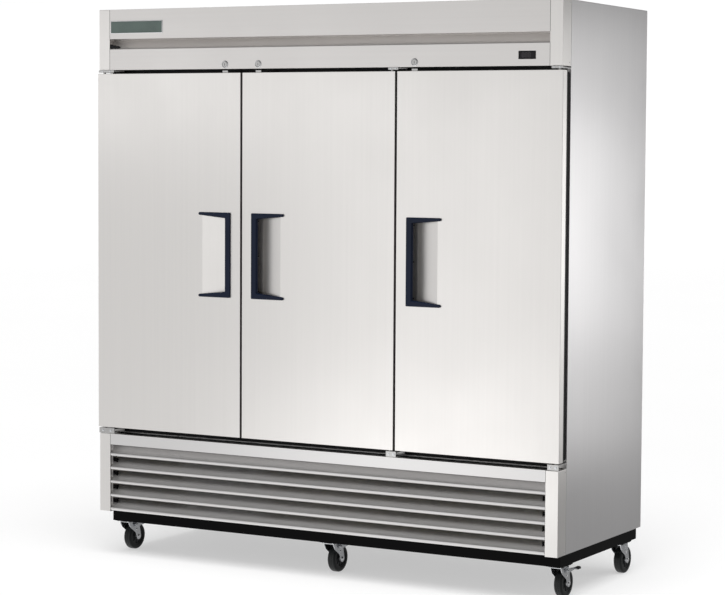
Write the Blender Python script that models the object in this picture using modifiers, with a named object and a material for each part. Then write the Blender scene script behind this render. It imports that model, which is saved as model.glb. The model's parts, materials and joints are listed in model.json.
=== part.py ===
"""Three-door reach-in refrigerator on casters, modelled as separate pieces.

Metres, +Z up, front towards -Y. The origin is on the floor, under the middle of the bounding box.
"""
from math import cos, pi, radians, sin

import bmesh
import bpy
from mathutils import Matrix, Vector

# ---- driving dimensions -------------------------------------------------------------------
CABINET_WIDTH = 1.984
DOORS_WIDTH = 1.992
HEIGHT = 2.118
BACK = 0.370                      # rear face of the cabinet
FACE = -0.360                     # front face of header, posts and grille
GAP = 0.0003                      # clearance between pieces that rest on each other
SHEET = 0.0012                    # cabinet sheet metal
TRIM = 0.0015                     # thicker sheet of the header, posts and grille
RETURN = 0.014                    # folded edge of the side panels and roof
WALL = 0.058                      # insulated wall, skin to liner
GLAND = (-0.82, 0.255)            # hole for the supply lead in the back, in X and Z
GLAND_RADIUS = 0.013
VENT_BANKS = (-0.48, 0.48)
VENT_HALF = 0.18
VENT_ROWS = 7
VENT_PITCH = 0.030
VENT_HEIGHT = 0.012

HALF = CABINET_WIDTH / 2
RAIL_BOTTOM = 0.1245
PANEL_BOTTOM = 0.1705             # lower edge of the side panels and grille posts
HOLD_BOTTOM = 0.442               # underside of the insulated box
GRILLE_TOP = 0.476
GRILLE_RAIL_BOTTOM = 0.434
HEADER_BOTTOM = 1.8867
POST_WIDTH = 0.049
POST_DEPTH = 0.0665
FRAME_FRONT = FACE + 0.067        # face that the door gaskets seal on
FRAME_BACK = FRAME_FRONT + 0.022

DOOR_BOTTOM = 0.502
DOOR_TOP = 1.8724
DOOR_FACE = FACE - 0.004
DOOR_GAP = 0.009
DOOR_SKIN_DEPTH = 0.032
DOOR_CORE_BACK = FACE + 0.048
GASKET_BACK = FACE + 0.0650
GASKET_INSET = 0.006
GASKET_WIDTH = 0.018
MULLION_X = 0.3323                # middle of the gap between two doors
MULLION_HALF = 0.037
OPENING_BOTTOM = 0.537
OPENING_TOP = 1.838
PIN_INSET = 0.020                 # hinge pin, from the door's hinge side
PIN_Y = FACE + 0.012
PIN_RADIUS = 0.005
PIN_HOLE = 0.0065

HANDLE_EDGE = 0.043               # outer side of the handle bar, from the door's free side
HANDLE_BAR = 0.022
HANDLE_REACH = 0.143
HANDLE_PROUD = 0.006
HANDLE_BOTTOM = 1.0285
HANDLE_TOP = 1.349
POCKET_DEPTH = 0.030

GROOVE_TOP = 2.0052               # finger groove along the header
GROOVE_BOTTOM = 1.9666
GROOVE_DEPTH = 0.034
DISPLAY = ((0.821, 1.910), (0.888, 1.939))
NAME_PLATE = ((-0.938, 2.0256), (-0.694, 2.0747))
LOCKS = {"left": -0.409, "middle": -0.2607, "right": 0.405}
LOCK_Z = 1.9037
LOCK_RADIUS = 0.010

LOUVRES = 5
LOUVRE_FIRST = 0.1820
LOUVRE_PITCH = 0.0534
LOUVRE_NOSE = 0.008
LOUVRE_RISE = 0.038

BAY_PITCH = 0.622
SHELF_LEVELS = (0.66, 1.04, 1.42)
SHELF_WIDTH = 0.600
SHELF_THICKNESS = 0.008

CASTER_X = 0.943
CASTER_FRONT_Y = FACE + 0.121
CASTER_REAR_Y = FACE + 0.640
CASTER_TRAIL = 0.035
WHEEL_RADIUS = 0.052
WHEEL_WIDTH = 0.032
FORK_TOP = RAIL_BOTTOM - 0.008
FORK_HALF = 0.022
FORK_SHEET = 0.003
PLATE_HALF = (0.031, 0.046)       # caster mounting plate
BRAKE_PIVOT = (0.012, 0.1015)     # Y from the swivel axis, and Z

BASE_HALF = 0.975
BASE_SHEET = 0.003
BASE_FLANGE = 0.050
CROSS_MEMBER_HALF = 0.055
COMPRESSOR = Vector((0.22, 0.08, PANEL_BOTTOM))
CONDENSER = Vector((-0.50, FACE + 0.130, 0.308))
CONDENSER_HALF = Vector((0.180, 0.035, 0.115))
CONDENSER_FAN = CONDENSER + Vector((0, 0.070, 0))
CONDENSER_FAN_RADIUS = 0.100
EVAPORATOR_HALF_WIDTH = 0.56
EVAPORATOR_FRONT = -0.12
EVAPORATOR_FAN = Vector((0.0, 0.08, 1.895))
EVAPORATOR_FAN_RADIUS = 0.088
FAN_HOLE_RADIUS = 0.095

# Each door's hinge side and free side, and the ends of its hinge brackets, in X.
DOORS = {
    "left": {"hinge": -DOORS_WIDTH / 2, "free": -MULLION_X - DOOR_GAP / 2},
    "middle": {"hinge": MULLION_X - DOOR_GAP / 2, "free": -MULLION_X + DOOR_GAP / 2},
    "right": {"hinge": DOORS_WIDTH / 2, "free": MULLION_X + DOOR_GAP / 2},
}
HINGE_SPANS = {"left": (-0.994, -0.922), "middle": (0.298, 0.340), "right": (0.950, 0.994)}
HINGE_SHEET = 0.004

TURN = {"x": Matrix.Rotation(pi / 2, 4, "Y"), "y": Matrix.Rotation(pi / 2, 4, "X"), "z": Matrix.Identity(4)}
UPRIGHT = Matrix(((1, 0, 0, 0), (0, 0, -1, 0), (0, 1, 0, 0), (0, 0, 0, 1)))


# ---- scene and helpers --------------------------------------------------------------------
for old in list(bpy.data.objects):
    bpy.data.objects.remove(old, do_unlink=True)

PARTS = bpy.data.collections.new("reach_in_refrigerator")
CUTTERS = bpy.data.collections.new("cutters")
for group in (PARTS, CUTTERS):
    bpy.context.scene.collection.children.link(group)


def material(name, colour, roughness, metallic=0.0):
    """A Principled BSDF with one colour, roughness and metallic value."""
    mat = bpy.data.materials.new(name)
    mat.use_nodes = True
    shader = mat.node_tree.nodes["Principled BSDF"]
    shader.inputs["Base Color"].default_value = (*colour, 1.0)
    shader.inputs["Roughness"].default_value = roughness
    shader.inputs["Metallic"].default_value = metallic
    return mat


STAINLESS = material("stainless", (0.62, 0.61, 0.60), 0.35, 1.0)
ALUMINIUM = material("aluminium", (0.72, 0.73, 0.74), 0.40, 1.0)
ZINC = material("zinc", (0.55, 0.56, 0.58), 0.35, 1.0)
BLACK_STEEL = material("black_steel", (0.012, 0.012, 0.013), 0.45)
BLACK_PLASTIC = material("black_plastic", (0.014, 0.017, 0.025), 0.45)
DARK_GLASS = material("dark_glass", (0.01, 0.01, 0.012), 0.15)
RUBBER = material("rubber", (0.015, 0.015, 0.016), 0.70)
TYRE = material("tyre", (0.020, 0.020, 0.022), 0.60)
FOAM = material("foam", (0.75, 0.68, 0.45), 0.90)
SHELF_COATING = material("shelf_coating", (0.85, 0.86, 0.86), 0.40)


def add(name, mesh, mat, collection=PARTS):
    """Link a mesh as a named object with one material."""
    obj = bpy.data.objects.new(name, mesh)
    mesh.materials.clear()
    mesh.materials.append(mat)
    collection.objects.link(obj)
    return obj


def from_bmesh(name, bm, mat, collection=PARTS):
    mesh = bpy.data.meshes.new(name)
    bm.to_mesh(mesh)
    bm.free()
    return add(name, mesh, mat, collection)


def boxes(name, corners, mat, collection=PARTS):
    """One mesh of one or more boxes, each given by its lowest and highest corner."""
    bm = bmesh.new()
    for low, high in corners:
        low = Vector(low)
        high = Vector(high)
        place = Matrix.Translation((low + high) / 2)
        bmesh.ops.create_cube(bm, size=1.0, matrix=place @ Matrix.Diagonal((*(high - low), 1.0)))
    return from_bmesh(name, bm, mat, collection)


def cylinders(name, rods, mat, collection=PARTS, segments=16):
    """One mesh of rods, each a tuple of centre, axis letter, radius and length."""
    bm = bmesh.new()
    for centre, axis, radius, length in rods:
        place = Matrix.Translation(centre) @ TURN[axis]
        bmesh.ops.create_cone(bm, cap_ends=True, segments=segments, radius1=radius, radius2=radius,
                              depth=length, matrix=place)
    return from_bmesh(name, bm, mat, collection)


def plate(name, outlines, thickness, place, mat, collection=PARTS):
    """A flat plate: closed outlines in its own XY plane, the later ones being holes."""
    curve = bpy.data.curves.new(name, "CURVE")
    curve.dimensions = "2D"
    curve.fill_mode = "BOTH"
    curve.extrude = thickness / 2
    for outline in outlines:
        spline = curve.splines.new("POLY")
        spline.points.add(len(outline) - 1)
        for point, (a, b) in zip(spline.points, outline):
            point.co = (a, b, 0.0, 1.0)
        spline.use_cyclic_u = True
    guide = bpy.data.objects.new(name + "_outline", curve)
    bpy.context.scene.collection.objects.link(guide)
    mesh = solid_copy(guide)
    bpy.data.objects.remove(guide, do_unlink=True)
    mesh.transform(place)
    return add(name, mesh, mat, collection)


def solid_copy(obj):
    """The evaluated shape of an object as a new mesh, with coincident points welded."""
    bpy.context.view_layer.update()
    evaluated = obj.evaluated_get(bpy.context.evaluated_depsgraph_get())
    mesh = bpy.data.meshes.new_from_object(evaluated)
    bm = bmesh.new()
    bm.from_mesh(mesh)
    bmesh.ops.remove_doubles(bm, verts=bm.verts, dist=1e-6)
    bm.to_mesh(mesh)
    bm.free()
    return mesh


def boolean(obj, tool, operation="DIFFERENCE"):
    """Cut or join another object, which becomes a hidden wire cutter."""
    if tool.name in PARTS.objects:
        PARTS.objects.unlink(tool)
        CUTTERS.objects.link(tool)
    tool.hide_render = True
    tool.display_type = "WIRE"
    step = obj.modifiers.new(operation.lower() + "_" + tool.name, "BOOLEAN")
    step.operation = operation
    step.solver = "EXACT"
    step.object = tool


def rectangle(low, high):
    return [(low[0], low[1]), (high[0], low[1]), (high[0], high[1]), (low[0], high[1])]


def arc(centre, radius, start, end, steps):
    """Points on an arc, both ends included, with angles in degrees."""
    angles = [radians(start + (end - start) * k / steps) for k in range(steps + 1)]
    return [(centre[0] + radius * cos(a), centre[1] + radius * sin(a)) for a in angles]


def folded_sheet(name, path, ends, thickness, mat):
    """A sheet folded along X: an open path of (y, z) points, thickened to its left side."""
    bm = bmesh.new()
    line = [bm.verts.new((ends[0], y, z)) for y, z in path]
    edges = [bm.edges.new(pair) for pair in zip(line, line[1:])]
    swept = bmesh.ops.extrude_edge_only(bm, edges=edges)
    moved = [item for item in swept["geom"] if isinstance(item, bmesh.types.BMVert)]
    bmesh.ops.translate(bm, verts=moved, vec=(ends[1] - ends[0], 0, 0))
    sheet = from_bmesh(name, bm, mat)
    solid = sheet.modifiers.new("thickness", "SOLIDIFY")
    solid.thickness = thickness
    solid.offset = 1.0
    solid.use_even_offset = True
    return sheet


def pan(name, low, high, open_side, thickness, mat):
    """A box of sheet metal, inside the given corners, with one side left open."""
    bm = bmesh.new()
    low = Vector(low)
    high = Vector(high)
    place = Matrix.Translation((low + high) / 2) @ Matrix.Diagonal((*(high - low), 1.0))
    bmesh.ops.create_cube(bm, size=1.0, matrix=place)
    away = Vector(open_side)
    lid = [face for face in bm.faces if face.normal.dot(away) > 0.9]
    bmesh.ops.delete(bm, geom=lid, context="FACES_ONLY")
    shell = from_bmesh(name, bm, mat)
    solid = shell.modifiers.new("thickness", "SOLIDIFY")
    solid.thickness = thickness
    solid.offset = -1.0
    solid.use_even_offset = True
    return shell


def turned(name, profile, mat, segments=24, closed=False):
    """A turned shape: (radius, height) points down its outer side, around its own Z axis."""
    mesh = bpy.data.meshes.new(name)
    count = len(profile)
    edges = [(k, k + 1) for k in range(count - 1)]
    if closed:
        edges.append((count - 1, 0))
    mesh.from_pydata([(r, 0.0, z) for r, z in profile], edges, [])
    obj = add(name, mesh, mat)
    screw = obj.modifiers.new("turn", "SCREW")
    screw.axis = "Z"
    screw.steps = segments
    screw.render_steps = segments
    screw.use_merge_vertices = True
    screw.merge_threshold = 0.00001
    return obj


def finished(pattern):
    """The pattern's evaluated mesh, shaded smooth; the pattern object itself is removed."""
    shape = solid_copy(pattern)
    bpy.data.objects.remove(pattern, do_unlink=True)
    shape.shade_smooth()
    shape.set_sharp_from_angle(angle=radians(35))
    return shape


def pivot(name, location):
    """An empty on a joint's axis, to parent the moving pieces to."""
    empty = bpy.data.objects.new(name, None)
    empty.location = location
    empty.empty_display_size = 0.05
    PARTS.objects.link(empty)
    bpy.context.view_layer.update()
    return empty


def hang_on(empty, *pieces):
    for piece in pieces:
        piece.parent = empty
        piece.matrix_parent_inverse = empty.matrix_world.inverted()


# ---- cabinet box --------------------------------------------------------------------------
def build_cabinet():
    body_front = FACE + POST_DEPTH + TRIM
    for side, sign in (("left", -1), ("right", 1)):
        outer = sign * HALF
        inner = sign * (HALF - RETURN)
        low = (min(outer, inner), body_front, PANEL_BOTTOM)
        high = (max(outer, inner), BACK, HEIGHT)
        pan("side_panel_" + side, low, high, (-sign, 0, 0), SHEET, STAINLESS)

    between = HALF - RETURN - GAP
    lid_front = body_front + GAP
    edge = HEIGHT - RETURN
    folded = [(lid_front, edge), (lid_front, HEIGHT), (BACK, HEIGHT), (BACK, edge)]
    folded_sheet("top_panel", folded[::-1], (-between, between), SHEET, STAINLESS)
    build_back_panel(between)

    core_front = FRAME_BACK + GAP
    core_back = BACK - SHEET - GAP
    foam_low = (-between, core_front, HOLD_BOTTOM)
    foam_high = (between, core_back, HEIGHT - SHEET - GAP)
    foam = boxes("foam_insulation", [(foam_low, foam_high)], FOAM)
    cavity_half = HALF - WALL
    cavity_low = (-cavity_half, core_front - 0.01, HOLD_BOTTOM + WALL)
    cavity_high = (cavity_half, BACK - WALL, HEIGHT - WALL)
    boolean(foam, boxes("cut_cavity", [(cavity_low, cavity_high)], FOAM, CUTTERS))
    liner_low = (-cavity_half + GAP, core_front, HOLD_BOTTOM + WALL + GAP)
    liner_high = (cavity_half - GAP, BACK - WALL - GAP, HEIGHT - WALL - GAP)
    pan("inner_liner", liner_low, liner_high, (0, -1, 0), SHEET, ALUMINIUM)
    build_face_frame(between, edge - GAP)


def build_back_panel(half):
    """The rear sheet, with two banks of vent slots over the machine compartment, and a gland hole."""
    low = (-half, PANEL_BOTTOM)
    high = (half, HEIGHT - RETURN - GAP)
    slots = []
    for bank in VENT_BANKS:
        for row in range(VENT_ROWS):
            z = PANEL_BOTTOM + 0.045 + VENT_PITCH * row
            slots.append(rectangle((bank - VENT_HALF, z), (bank + VENT_HALF, z + VENT_HEIGHT)))
    gland = arc(GLAND, GLAND_RADIUS, 0, 345, 23)
    place = Matrix.Translation((0, BACK - SHEET / 2, 0)) @ TURN["y"]
    plate("back_panel", [rectangle(low, high), gland] + slots, SHEET, place, ZINC)


def build_face_frame(half, top):
    """The black breaker frame round the three door openings."""
    outline = rectangle((-half, HOLD_BOTTOM), (half, top))
    inner_edge = MULLION_X - MULLION_HALF
    outer_edge = MULLION_X + MULLION_HALF
    side = HALF - WALL - 0.004
    bays = ((-side, -outer_edge), (-inner_edge, inner_edge), (outer_edge, side))
    holes = [rectangle((a, OPENING_BOTTOM), (b, OPENING_TOP)) for a, b in bays]
    depth = FRAME_BACK - FRAME_FRONT
    place = Matrix.Translation((0, FRAME_FRONT + depth / 2, 0)) @ TURN["y"]
    plate("face_frame", [outline] + holes, depth, place, BLACK_PLASTIC)


# ---- header -------------------------------------------------------------------------------
def build_header():
    inside = HALF - POST_WIDTH - GAP
    back = FACE + POST_DEPTH
    path = [(back, HEIGHT), (FACE, HEIGHT), (FACE, GROOVE_TOP), (FACE + GROOVE_DEPTH, GROOVE_TOP - 0.003),
            (FACE + 0.001, GROOVE_BOTTOM + 0.001), (FACE, GROOVE_BOTTOM - 0.001),
            (FACE, HEADER_BOTTOM), (back, HEADER_BOTTOM)]
    header = folded_sheet("header_panel", path, (-inside, inside), TRIM, STAINLESS)
    holes = [((x, FACE, LOCK_Z), "y", LOCK_RADIUS + 0.0008, 0.02) for x in LOCKS.values()]
    boolean(header, cylinders("cut_lock_holes", holes, STAINLESS, CUTTERS, segments=24))
    (x0, z0), (x1, z1) = DISPLAY
    rim = 0.003
    window = ((x0 + rim, FACE - 0.01, z0 + rim), (x1 - rim, FACE + 0.01, z1 - rim))
    boolean(header, boxes("cut_display_window", [window], STAINLESS, CUTTERS))

    display = boxes("temperature_display", [((x0, FACE - 0.0018, z0), (x1, FACE - GAP, z1))], DARK_GLASS)
    neck = rim + 0.0006
    stem = ((x0 + neck, FACE - 0.001, z0 + neck), (x1 - neck, FACE + 0.024, z1 - neck))
    boolean(display, boxes("display_body", [stem], DARK_GLASS), "UNION")

    (x0, z0), (x1, z1) = NAME_PLATE
    badge = boxes("name_plate", [((x0, FACE - 0.0018, z0), (x1, FACE - GAP, z1))], BLACK_PLASTIC)
    rounded = badge.modifiers.new("rounded_edges", "BEVEL")
    rounded.width = 0.0004
    rounded.segments = 1

    build_posts("header_post_", HEADER_BOTTOM, HEIGHT)


def build_posts(prefix, bottom, top):
    """The corner posts beside the header or the grille, open at the back."""
    for side, sign in (("left", -1), ("right", 1)):
        ends = sorted((sign * (HALF - POST_WIDTH), sign * HALF))
        pan(prefix + side, (ends[0], FACE, bottom), (ends[1], FACE + POST_DEPTH, top), (0, 1, 0),
            TRIM, STAINLESS)


# ---- grille -------------------------------------------------------------------------------
def louvre_outline(nose_z):
    """Section of one louvre: a rounded nose, then a blade rising at 45 degrees to the back."""
    nose = arc((LOUVRE_NOSE, nose_z), LOUVRE_NOSE, 270, 120, 5)
    blade = [(0.006 + LOUVRE_RISE, nose_z + 0.006 + LOUVRE_RISE),
             (0.0075 + LOUVRE_RISE, nose_z + 0.0045 + LOUVRE_RISE), (0.0125, nose_z + 0.0085), (0.0125, nose_z - LOUVRE_NOSE)]
    return nose + blade


def build_grille():
    inside = HALF - POST_WIDTH - GAP
    spans = Matrix(((0, 0, 1, 0), (1, 0, 0, FACE), (0, 1, 0, 0), (0, 0, 0, 1)))
    back = FACE + 0.030
    path = [(back, GRILLE_TOP), (FACE, GRILLE_TOP), (FACE, GRILLE_RAIL_BOTTOM), (back, GRILLE_RAIL_BOTTOM)]
    grille = folded_sheet("grille_panel", path, (-inside, inside), TRIM, STAINLESS)
    for k in range(LOUVRES):
        outline = louvre_outline(LOUVRE_FIRST + LOUVRE_PITCH * k)
        blade = plate("louvre_%d" % (k + 1), [outline], 2 * inside - 0.002, spans, STAINLESS)
        boolean(grille, blade, "UNION")
    ends = [((sign * inside, FACE + 0.012, LOUVRE_FIRST - 0.006),
             (sign * (inside - 0.002), FACE + 0.052, GRILLE_TOP - 0.003)) for sign in (-1, 1)]
    ends = [(tuple(map(min, a, b)), tuple(map(max, a, b))) for a, b in ends]
    boolean(grille, boxes("grille_end_brackets", ends, STAINLESS), "UNION")
    build_posts("grille_post_", PANEL_BOTTOM, GRILLE_TOP)


# ---- base, machine compartment and evaporator ---------------------------------------------
def caster_places():
    for row, y in (("front", CASTER_FRONT_Y), ("rear", CASTER_REAR_Y)):
        for column, x in (("left", -CASTER_X), ("middle", 0.0), ("right", CASTER_X)):
            yield row + "_" + column, x, y


def build_base():
    """Black channel frame: outer wall, deck, bottom flanges, cross member and caster plates."""
    half, gauge, flange = BASE_HALF, BASE_SHEET, BASE_FLANGE
    front = FACE + 0.060
    back = BACK - 0.002
    deck = PANEL_BOTTOM - GAP
    base = boxes("base_frame", [((-half, front, RAIL_BOTTOM), (half, back, deck))], BLACK_STEEL)
    hollow = ((-half + gauge, front + gauge, RAIL_BOTTOM + gauge), (half - gauge, back - gauge, deck - gauge))
    mouth = ((-half + flange, front + flange, RAIL_BOTTOM - 0.01),
             (half - flange, back - flange, RAIL_BOTTOM + 0.02))
    boolean(base, boxes("cut_base_hollow", [hollow], BLACK_STEEL, CUTTERS))
    boolean(base, boxes("cut_base_mouth", [mouth], BLACK_STEEL, CUTTERS))
    member = pan("cross_member", (-CROSS_MEMBER_HALF, front + 0.020, RAIL_BOTTOM),
                 (CROSS_MEMBER_HALF, back - 0.020, deck - 0.001), (0, -1, 0), gauge, BLACK_STEEL)
    boolean(base, member, "UNION")

    plates = []
    bearings = []
    wide, deep = PLATE_HALF
    for _, x, y in caster_places():
        plates.append(((x - wide, y - deep, RAIL_BOTTOM - 0.004), (x + wide, y + deep, RAIL_BOTTOM + 0.001)))
        bearings.append(((x, y, RAIL_BOTTOM - 0.0052), "z", 0.026, 0.0044))
    boolean(base, boxes("caster_plates", plates, ZINC), "UNION")
    boolean(base, cylinders("caster_bearings", bearings, ZINC), "UNION")
    pins = [((x, y, RAIL_BOTTOM - 0.011), "z", 0.0065, 0.012) for _, x, y in caster_places()]
    heads = [((x, y, RAIL_BOTTOM - 0.0155), "z", 0.011, 0.004) for _, x, y in caster_places()]
    boolean(base, cylinders("kingpins", pins, ZINC, segments=12), "UNION")
    boolean(base, cylinders("kingpin_heads", heads, ZINC, segments=12), "UNION")


def build_compressor():
    """Hermetic dome with a round shoulder, on a foot plate that stands on the deck."""
    radius = 0.088
    height = 0.185
    dome = arc((radius - 0.045, height - 0.045), 0.045, 90, 0, 6)
    foot = arc((radius - 0.030, 0.050), 0.030, 0, -90, 4)
    profile = [(0.0, height)] + dome + foot + [(0.0, 0.020)]
    body = turned("compressor", profile, BLACK_STEEL, segments=24)
    body.location = COMPRESSOR
    x, y, z = COMPRESSOR
    feet = ((x - 0.105, y - 0.075, z), (x + 0.105, y + 0.075, z + 0.022))
    boolean(body, boxes("compressor_feet", [feet], BLACK_STEEL), "UNION")
    tubes = [((x, y - 0.045, z + height), "z", 0.006, 0.05), ((x + 0.04, y, z + height), "z", 0.005, 0.06)]
    boolean(body, cylinders("compressor_tubes", tubes, BLACK_STEEL, segments=10), "UNION")


def build_condenser():
    """Finned coil that stands on the deck, with an arm that holds the fan motor."""
    x, y, z = CONDENSER
    half = CONDENSER_HALF
    fins = 12
    coil = boxes("condenser_coil", [(CONDENSER - half, CONDENSER + half)], ALUMINIUM)
    step = 2 * (half.x - 0.012) / fins
    slots = []
    for k in range(fins):
        left = x - half.x + 0.012 + step * k
        slots.append(((left + 0.006, y - half.y - 0.01, z - half.z + 0.014),
                      (left + step - 0.006, y + half.y - 0.006, z + half.z - 0.014)))
    boolean(coil, boxes("cut_fin_gaps", slots, ALUMINIUM, CUTTERS))
    foot = z - half.z - PANEL_BOTTOM
    stands = [((x + side * 0.15 - 0.012, y - 0.03, PANEL_BOTTOM), (x + side * 0.15 + 0.012, y + 0.03,
               PANEL_BOTTOM + foot + 0.004)) for side in (-1, 1)]
    boolean(coil, boxes("condenser_stands", stands, ALUMINIUM), "UNION")
    arm_back = y + 0.118
    arms = [((x + side * 0.135 - 0.004, y + half.y - 0.004, z - 0.010),
             (x + side * 0.135 + 0.004, arm_back, z + 0.010)) for side in (-1, 1)]
    boolean(coil, boxes("fan_arms", arms, ALUMINIUM), "UNION")
    bridge = ((x - 0.139, arm_back - 0.006, z - 0.009), (x + 0.139, arm_back + 0.001, z + 0.009))
    boolean(coil, boxes("fan_bridge", [bridge], ALUMINIUM), "UNION")
    motor = ((x, y + 0.102, z), "y", 0.032, 0.030)
    boolean(coil, cylinders("condenser_motor", [motor], ALUMINIUM), "UNION")


def build_evaporator():
    """Sheet housing under the ceiling, with a fan hole and a bar that holds the motor."""
    ceiling = HEIGHT - WALL - GAP - SHEET - GAP
    low = Vector((-EVAPORATOR_HALF_WIDTH, EVAPORATOR_FRONT, EVAPORATOR_FAN.z - 0.012))
    high = Vector((EVAPORATOR_HALF_WIDTH, BACK - WALL - GAP - SHEET - GAP, ceiling))
    housing = pan("evaporator_housing", low, high, (0, 0, 1), 0.002, ALUMINIUM)
    x, y, z = EVAPORATOR_FAN
    hole = ((x, y, low.z), "z", FAN_HOLE_RADIUS, 0.03)
    boolean(housing, cylinders("cut_evaporator_hole", [hole], ALUMINIUM, CUTTERS, segments=24))
    bar = ((x - 0.02, low.y + 0.001, z + 0.048), (x + 0.02, high.y - 0.001, z + 0.053))
    boolean(housing, boxes("evaporator_bar", [bar], ALUMINIUM), "UNION")
    motor = ((x, y, z + 0.033), "z", 0.030, 0.034)
    boolean(housing, cylinders("evaporator_motor", [motor], ALUMINIUM), "UNION")


def build_fan(name, centre, turn, radius):
    """Five pitched blades on a hub that turns about the object's own Z axis."""
    blades = 5
    hub = cylinders(name, [((0, 0, 0), "z", 0.026, 0.024)], BLACK_PLASTIC, segments=16)
    bm = bmesh.new()
    span = radius - 0.020
    for k in range(blades):
        place = (Matrix.Rotation(2 * pi * k / blades, 4, "Z") @ Matrix.Translation((0.020 + span / 2, 0, 0))
                 @ Matrix.Rotation(radians(28), 4, "X") @ Matrix.Diagonal((span, 0.040, 0.002, 1.0)))
        bmesh.ops.create_cube(bm, size=1.0, matrix=place)
    vanes = from_bmesh(name + "_blades", bm, BLACK_PLASTIC)
    for piece in (hub, vanes):
        piece.matrix_world = Matrix.Translation(centre) @ turn
    boolean(hub, vanes, "UNION")


# ---- shelves ------------------------------------------------------------------------------
def build_shelves():
    """In each bay three open shelves, hooked into four upright standards."""
    front = FRAME_BACK + 0.011
    back = BACK - WALL - 0.016
    slots = 12
    border = 0.014
    wire = 0.006
    pitch = (SHELF_WIDTH - 2 * border + wire) / slots
    for side, centre in (("left", -BAY_PITCH), ("middle", 0.0), ("right", BAY_PITCH)):
        left = centre - SHELF_WIDTH / 2
        outline = rectangle((left, front), (left + SHELF_WIDTH, back))
        gaps = []
        for k in range(slots):
            start = left + border + pitch * k
            gaps.append(rectangle((start, front + border), (start + pitch - wire, back - border)))
        stack = None
        for level in SHELF_LEVELS:
            shelf = plate("shelf", [outline] + gaps, SHELF_THICKNESS, Matrix.Translation((0, 0, level)),
                          SHELF_COATING)
            if stack is None:
                stack = shelf
                stack.name = "shelf_stack_" + side
            else:
                boolean(stack, shelf, "UNION")
        standards = []
        for x in (left + 0.004, left + SHELF_WIDTH - 0.024):
            for y in (front - 0.008, back - 0.001):
                standards.append(((x, y, OPENING_BOTTOM - 0.02), (x + 0.020, y + 0.009, OPENING_TOP - 0.02)))
        boolean(stack, boxes("standards_" + side, standards, ALUMINIUM), "UNION")


# ---- doors --------------------------------------------------------------------------------
def pocket(name, free, towards_hinge, grow):
    """The wedge that fingers reach into: deep behind the bar, running out at the arm tips."""
    start = HANDLE_EDGE + 0.004 - grow
    end = HANDLE_EDGE + HANDLE_REACH - 0.006 + 2 * grow
    depth = POCKET_DEPTH + grow
    section = [(start, -0.003), (start, depth), (start + 0.028 + grow, depth), (end, -0.003)]
    outline = [(free + towards_hinge * u, DOOR_FACE + v) for u, v in section]
    low = HANDLE_BOTTOM + 0.009 - grow
    high = HANDLE_TOP - 0.009 + grow
    place = Matrix.Translation((0, 0, (low + high) / 2))
    return plate(name, [outline], high - low, place, STAINLESS, CUTTERS)


def handle_outline(free, towards_hinge):
    """Front view of the handle: a bar with two arms that taper to round tips."""
    bar_u = HANDLE_EDGE + HANDLE_BAR
    tip = 0.0055
    tip_u = HANDLE_EDGE + HANDLE_REACH - tip
    top_tip = arc((tip_u, HANDLE_TOP - tip), tip, 90, -90, 4)
    bottom_tip = arc((tip_u, HANDLE_BOTTOM + tip), tip, 90, -90, 4)
    points = [(HANDLE_EDGE, HANDLE_BOTTOM), (HANDLE_EDGE, HANDLE_TOP)] + top_tip
    points += [(bar_u, HANDLE_TOP - 0.020), (bar_u, HANDLE_BOTTOM + 0.020)] + bottom_tip
    return [(free + towards_hinge * u, z) for u, z in points]


def build_door(side, hinge, free):
    towards_hinge = 1 if hinge > free else -1
    low_x = min(hinge, free)
    high_x = max(hinge, free)
    pin_x = hinge - towards_hinge * PIN_INSET
    skin_back = DOOR_FACE + DOOR_SKIN_DEPTH
    holes = [((pin_x, PIN_Y, z), "z", PIN_HOLE, 0.044) for z in (DOOR_BOTTOM, DOOR_TOP)]
    pin_holes = cylinders("cut_pins_" + side, holes, STAINLESS, CUTTERS, segments=12)

    skin = boxes("door_skin_" + side, [((low_x, DOOR_FACE, DOOR_BOTTOM), (high_x, skin_back, DOOR_TOP))],
                 STAINLESS)
    room_low = (low_x + SHEET, DOOR_FACE + SHEET, DOOR_BOTTOM + SHEET)
    room_high = (high_x - SHEET, skin_back + 0.02, DOOR_TOP - SHEET)
    room = boxes("cut_room_" + side, [(room_low, room_high)], STAINLESS, CUTTERS)
    boolean(room, pocket("cut_pocket_wall_" + side, free, towards_hinge, SHEET))
    boolean(skin, pocket("cut_pocket_" + side, free, towards_hinge, 0.0))
    boolean(skin, room)
    boolean(skin, pin_holes)

    inset = 0.004
    core_low = (low_x + inset, DOOR_FACE + SHEET + GAP, DOOR_BOTTOM + inset)
    core_high = (high_x - inset, DOOR_CORE_BACK, DOOR_TOP - inset)
    core = boxes("door_core_" + side, [(core_low, core_high)], FOAM)
    boolean(core, pocket("cut_pocket_room_" + side, free, towards_hinge, SHEET + 2 * GAP))
    boolean(core, pin_holes)

    ring = [rectangle((low_x + d, DOOR_BOTTOM + d), (high_x - d, DOOR_TOP - d))
            for d in (GASKET_INSET, GASKET_INSET + GASKET_WIDTH)]
    front = DOOR_CORE_BACK + GAP
    place = Matrix.Translation((0, (front + GASKET_BACK) / 2, 0)) @ UPRIGHT
    gasket = plate("door_gasket_" + side, ring, GASKET_BACK - front, place, RUBBER)

    proud = HANDLE_PROUD - GAP
    place = Matrix.Translation((0, DOOR_FACE - GAP - proud / 2, 0)) @ UPRIGHT
    handle = plate("door_handle_" + side, [handle_outline(free, towards_hinge)], proud, place, BLACK_PLASTIC)
    soft = handle.modifiers.new("rounded_edges", "BEVEL")
    soft.width = 0.0015
    soft.segments = 1

    axis = pivot("hinge_axis_" + side, (pin_x, PIN_Y, DOOR_BOTTOM))
    hang_on(axis, skin, core, gasket, handle)


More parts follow.
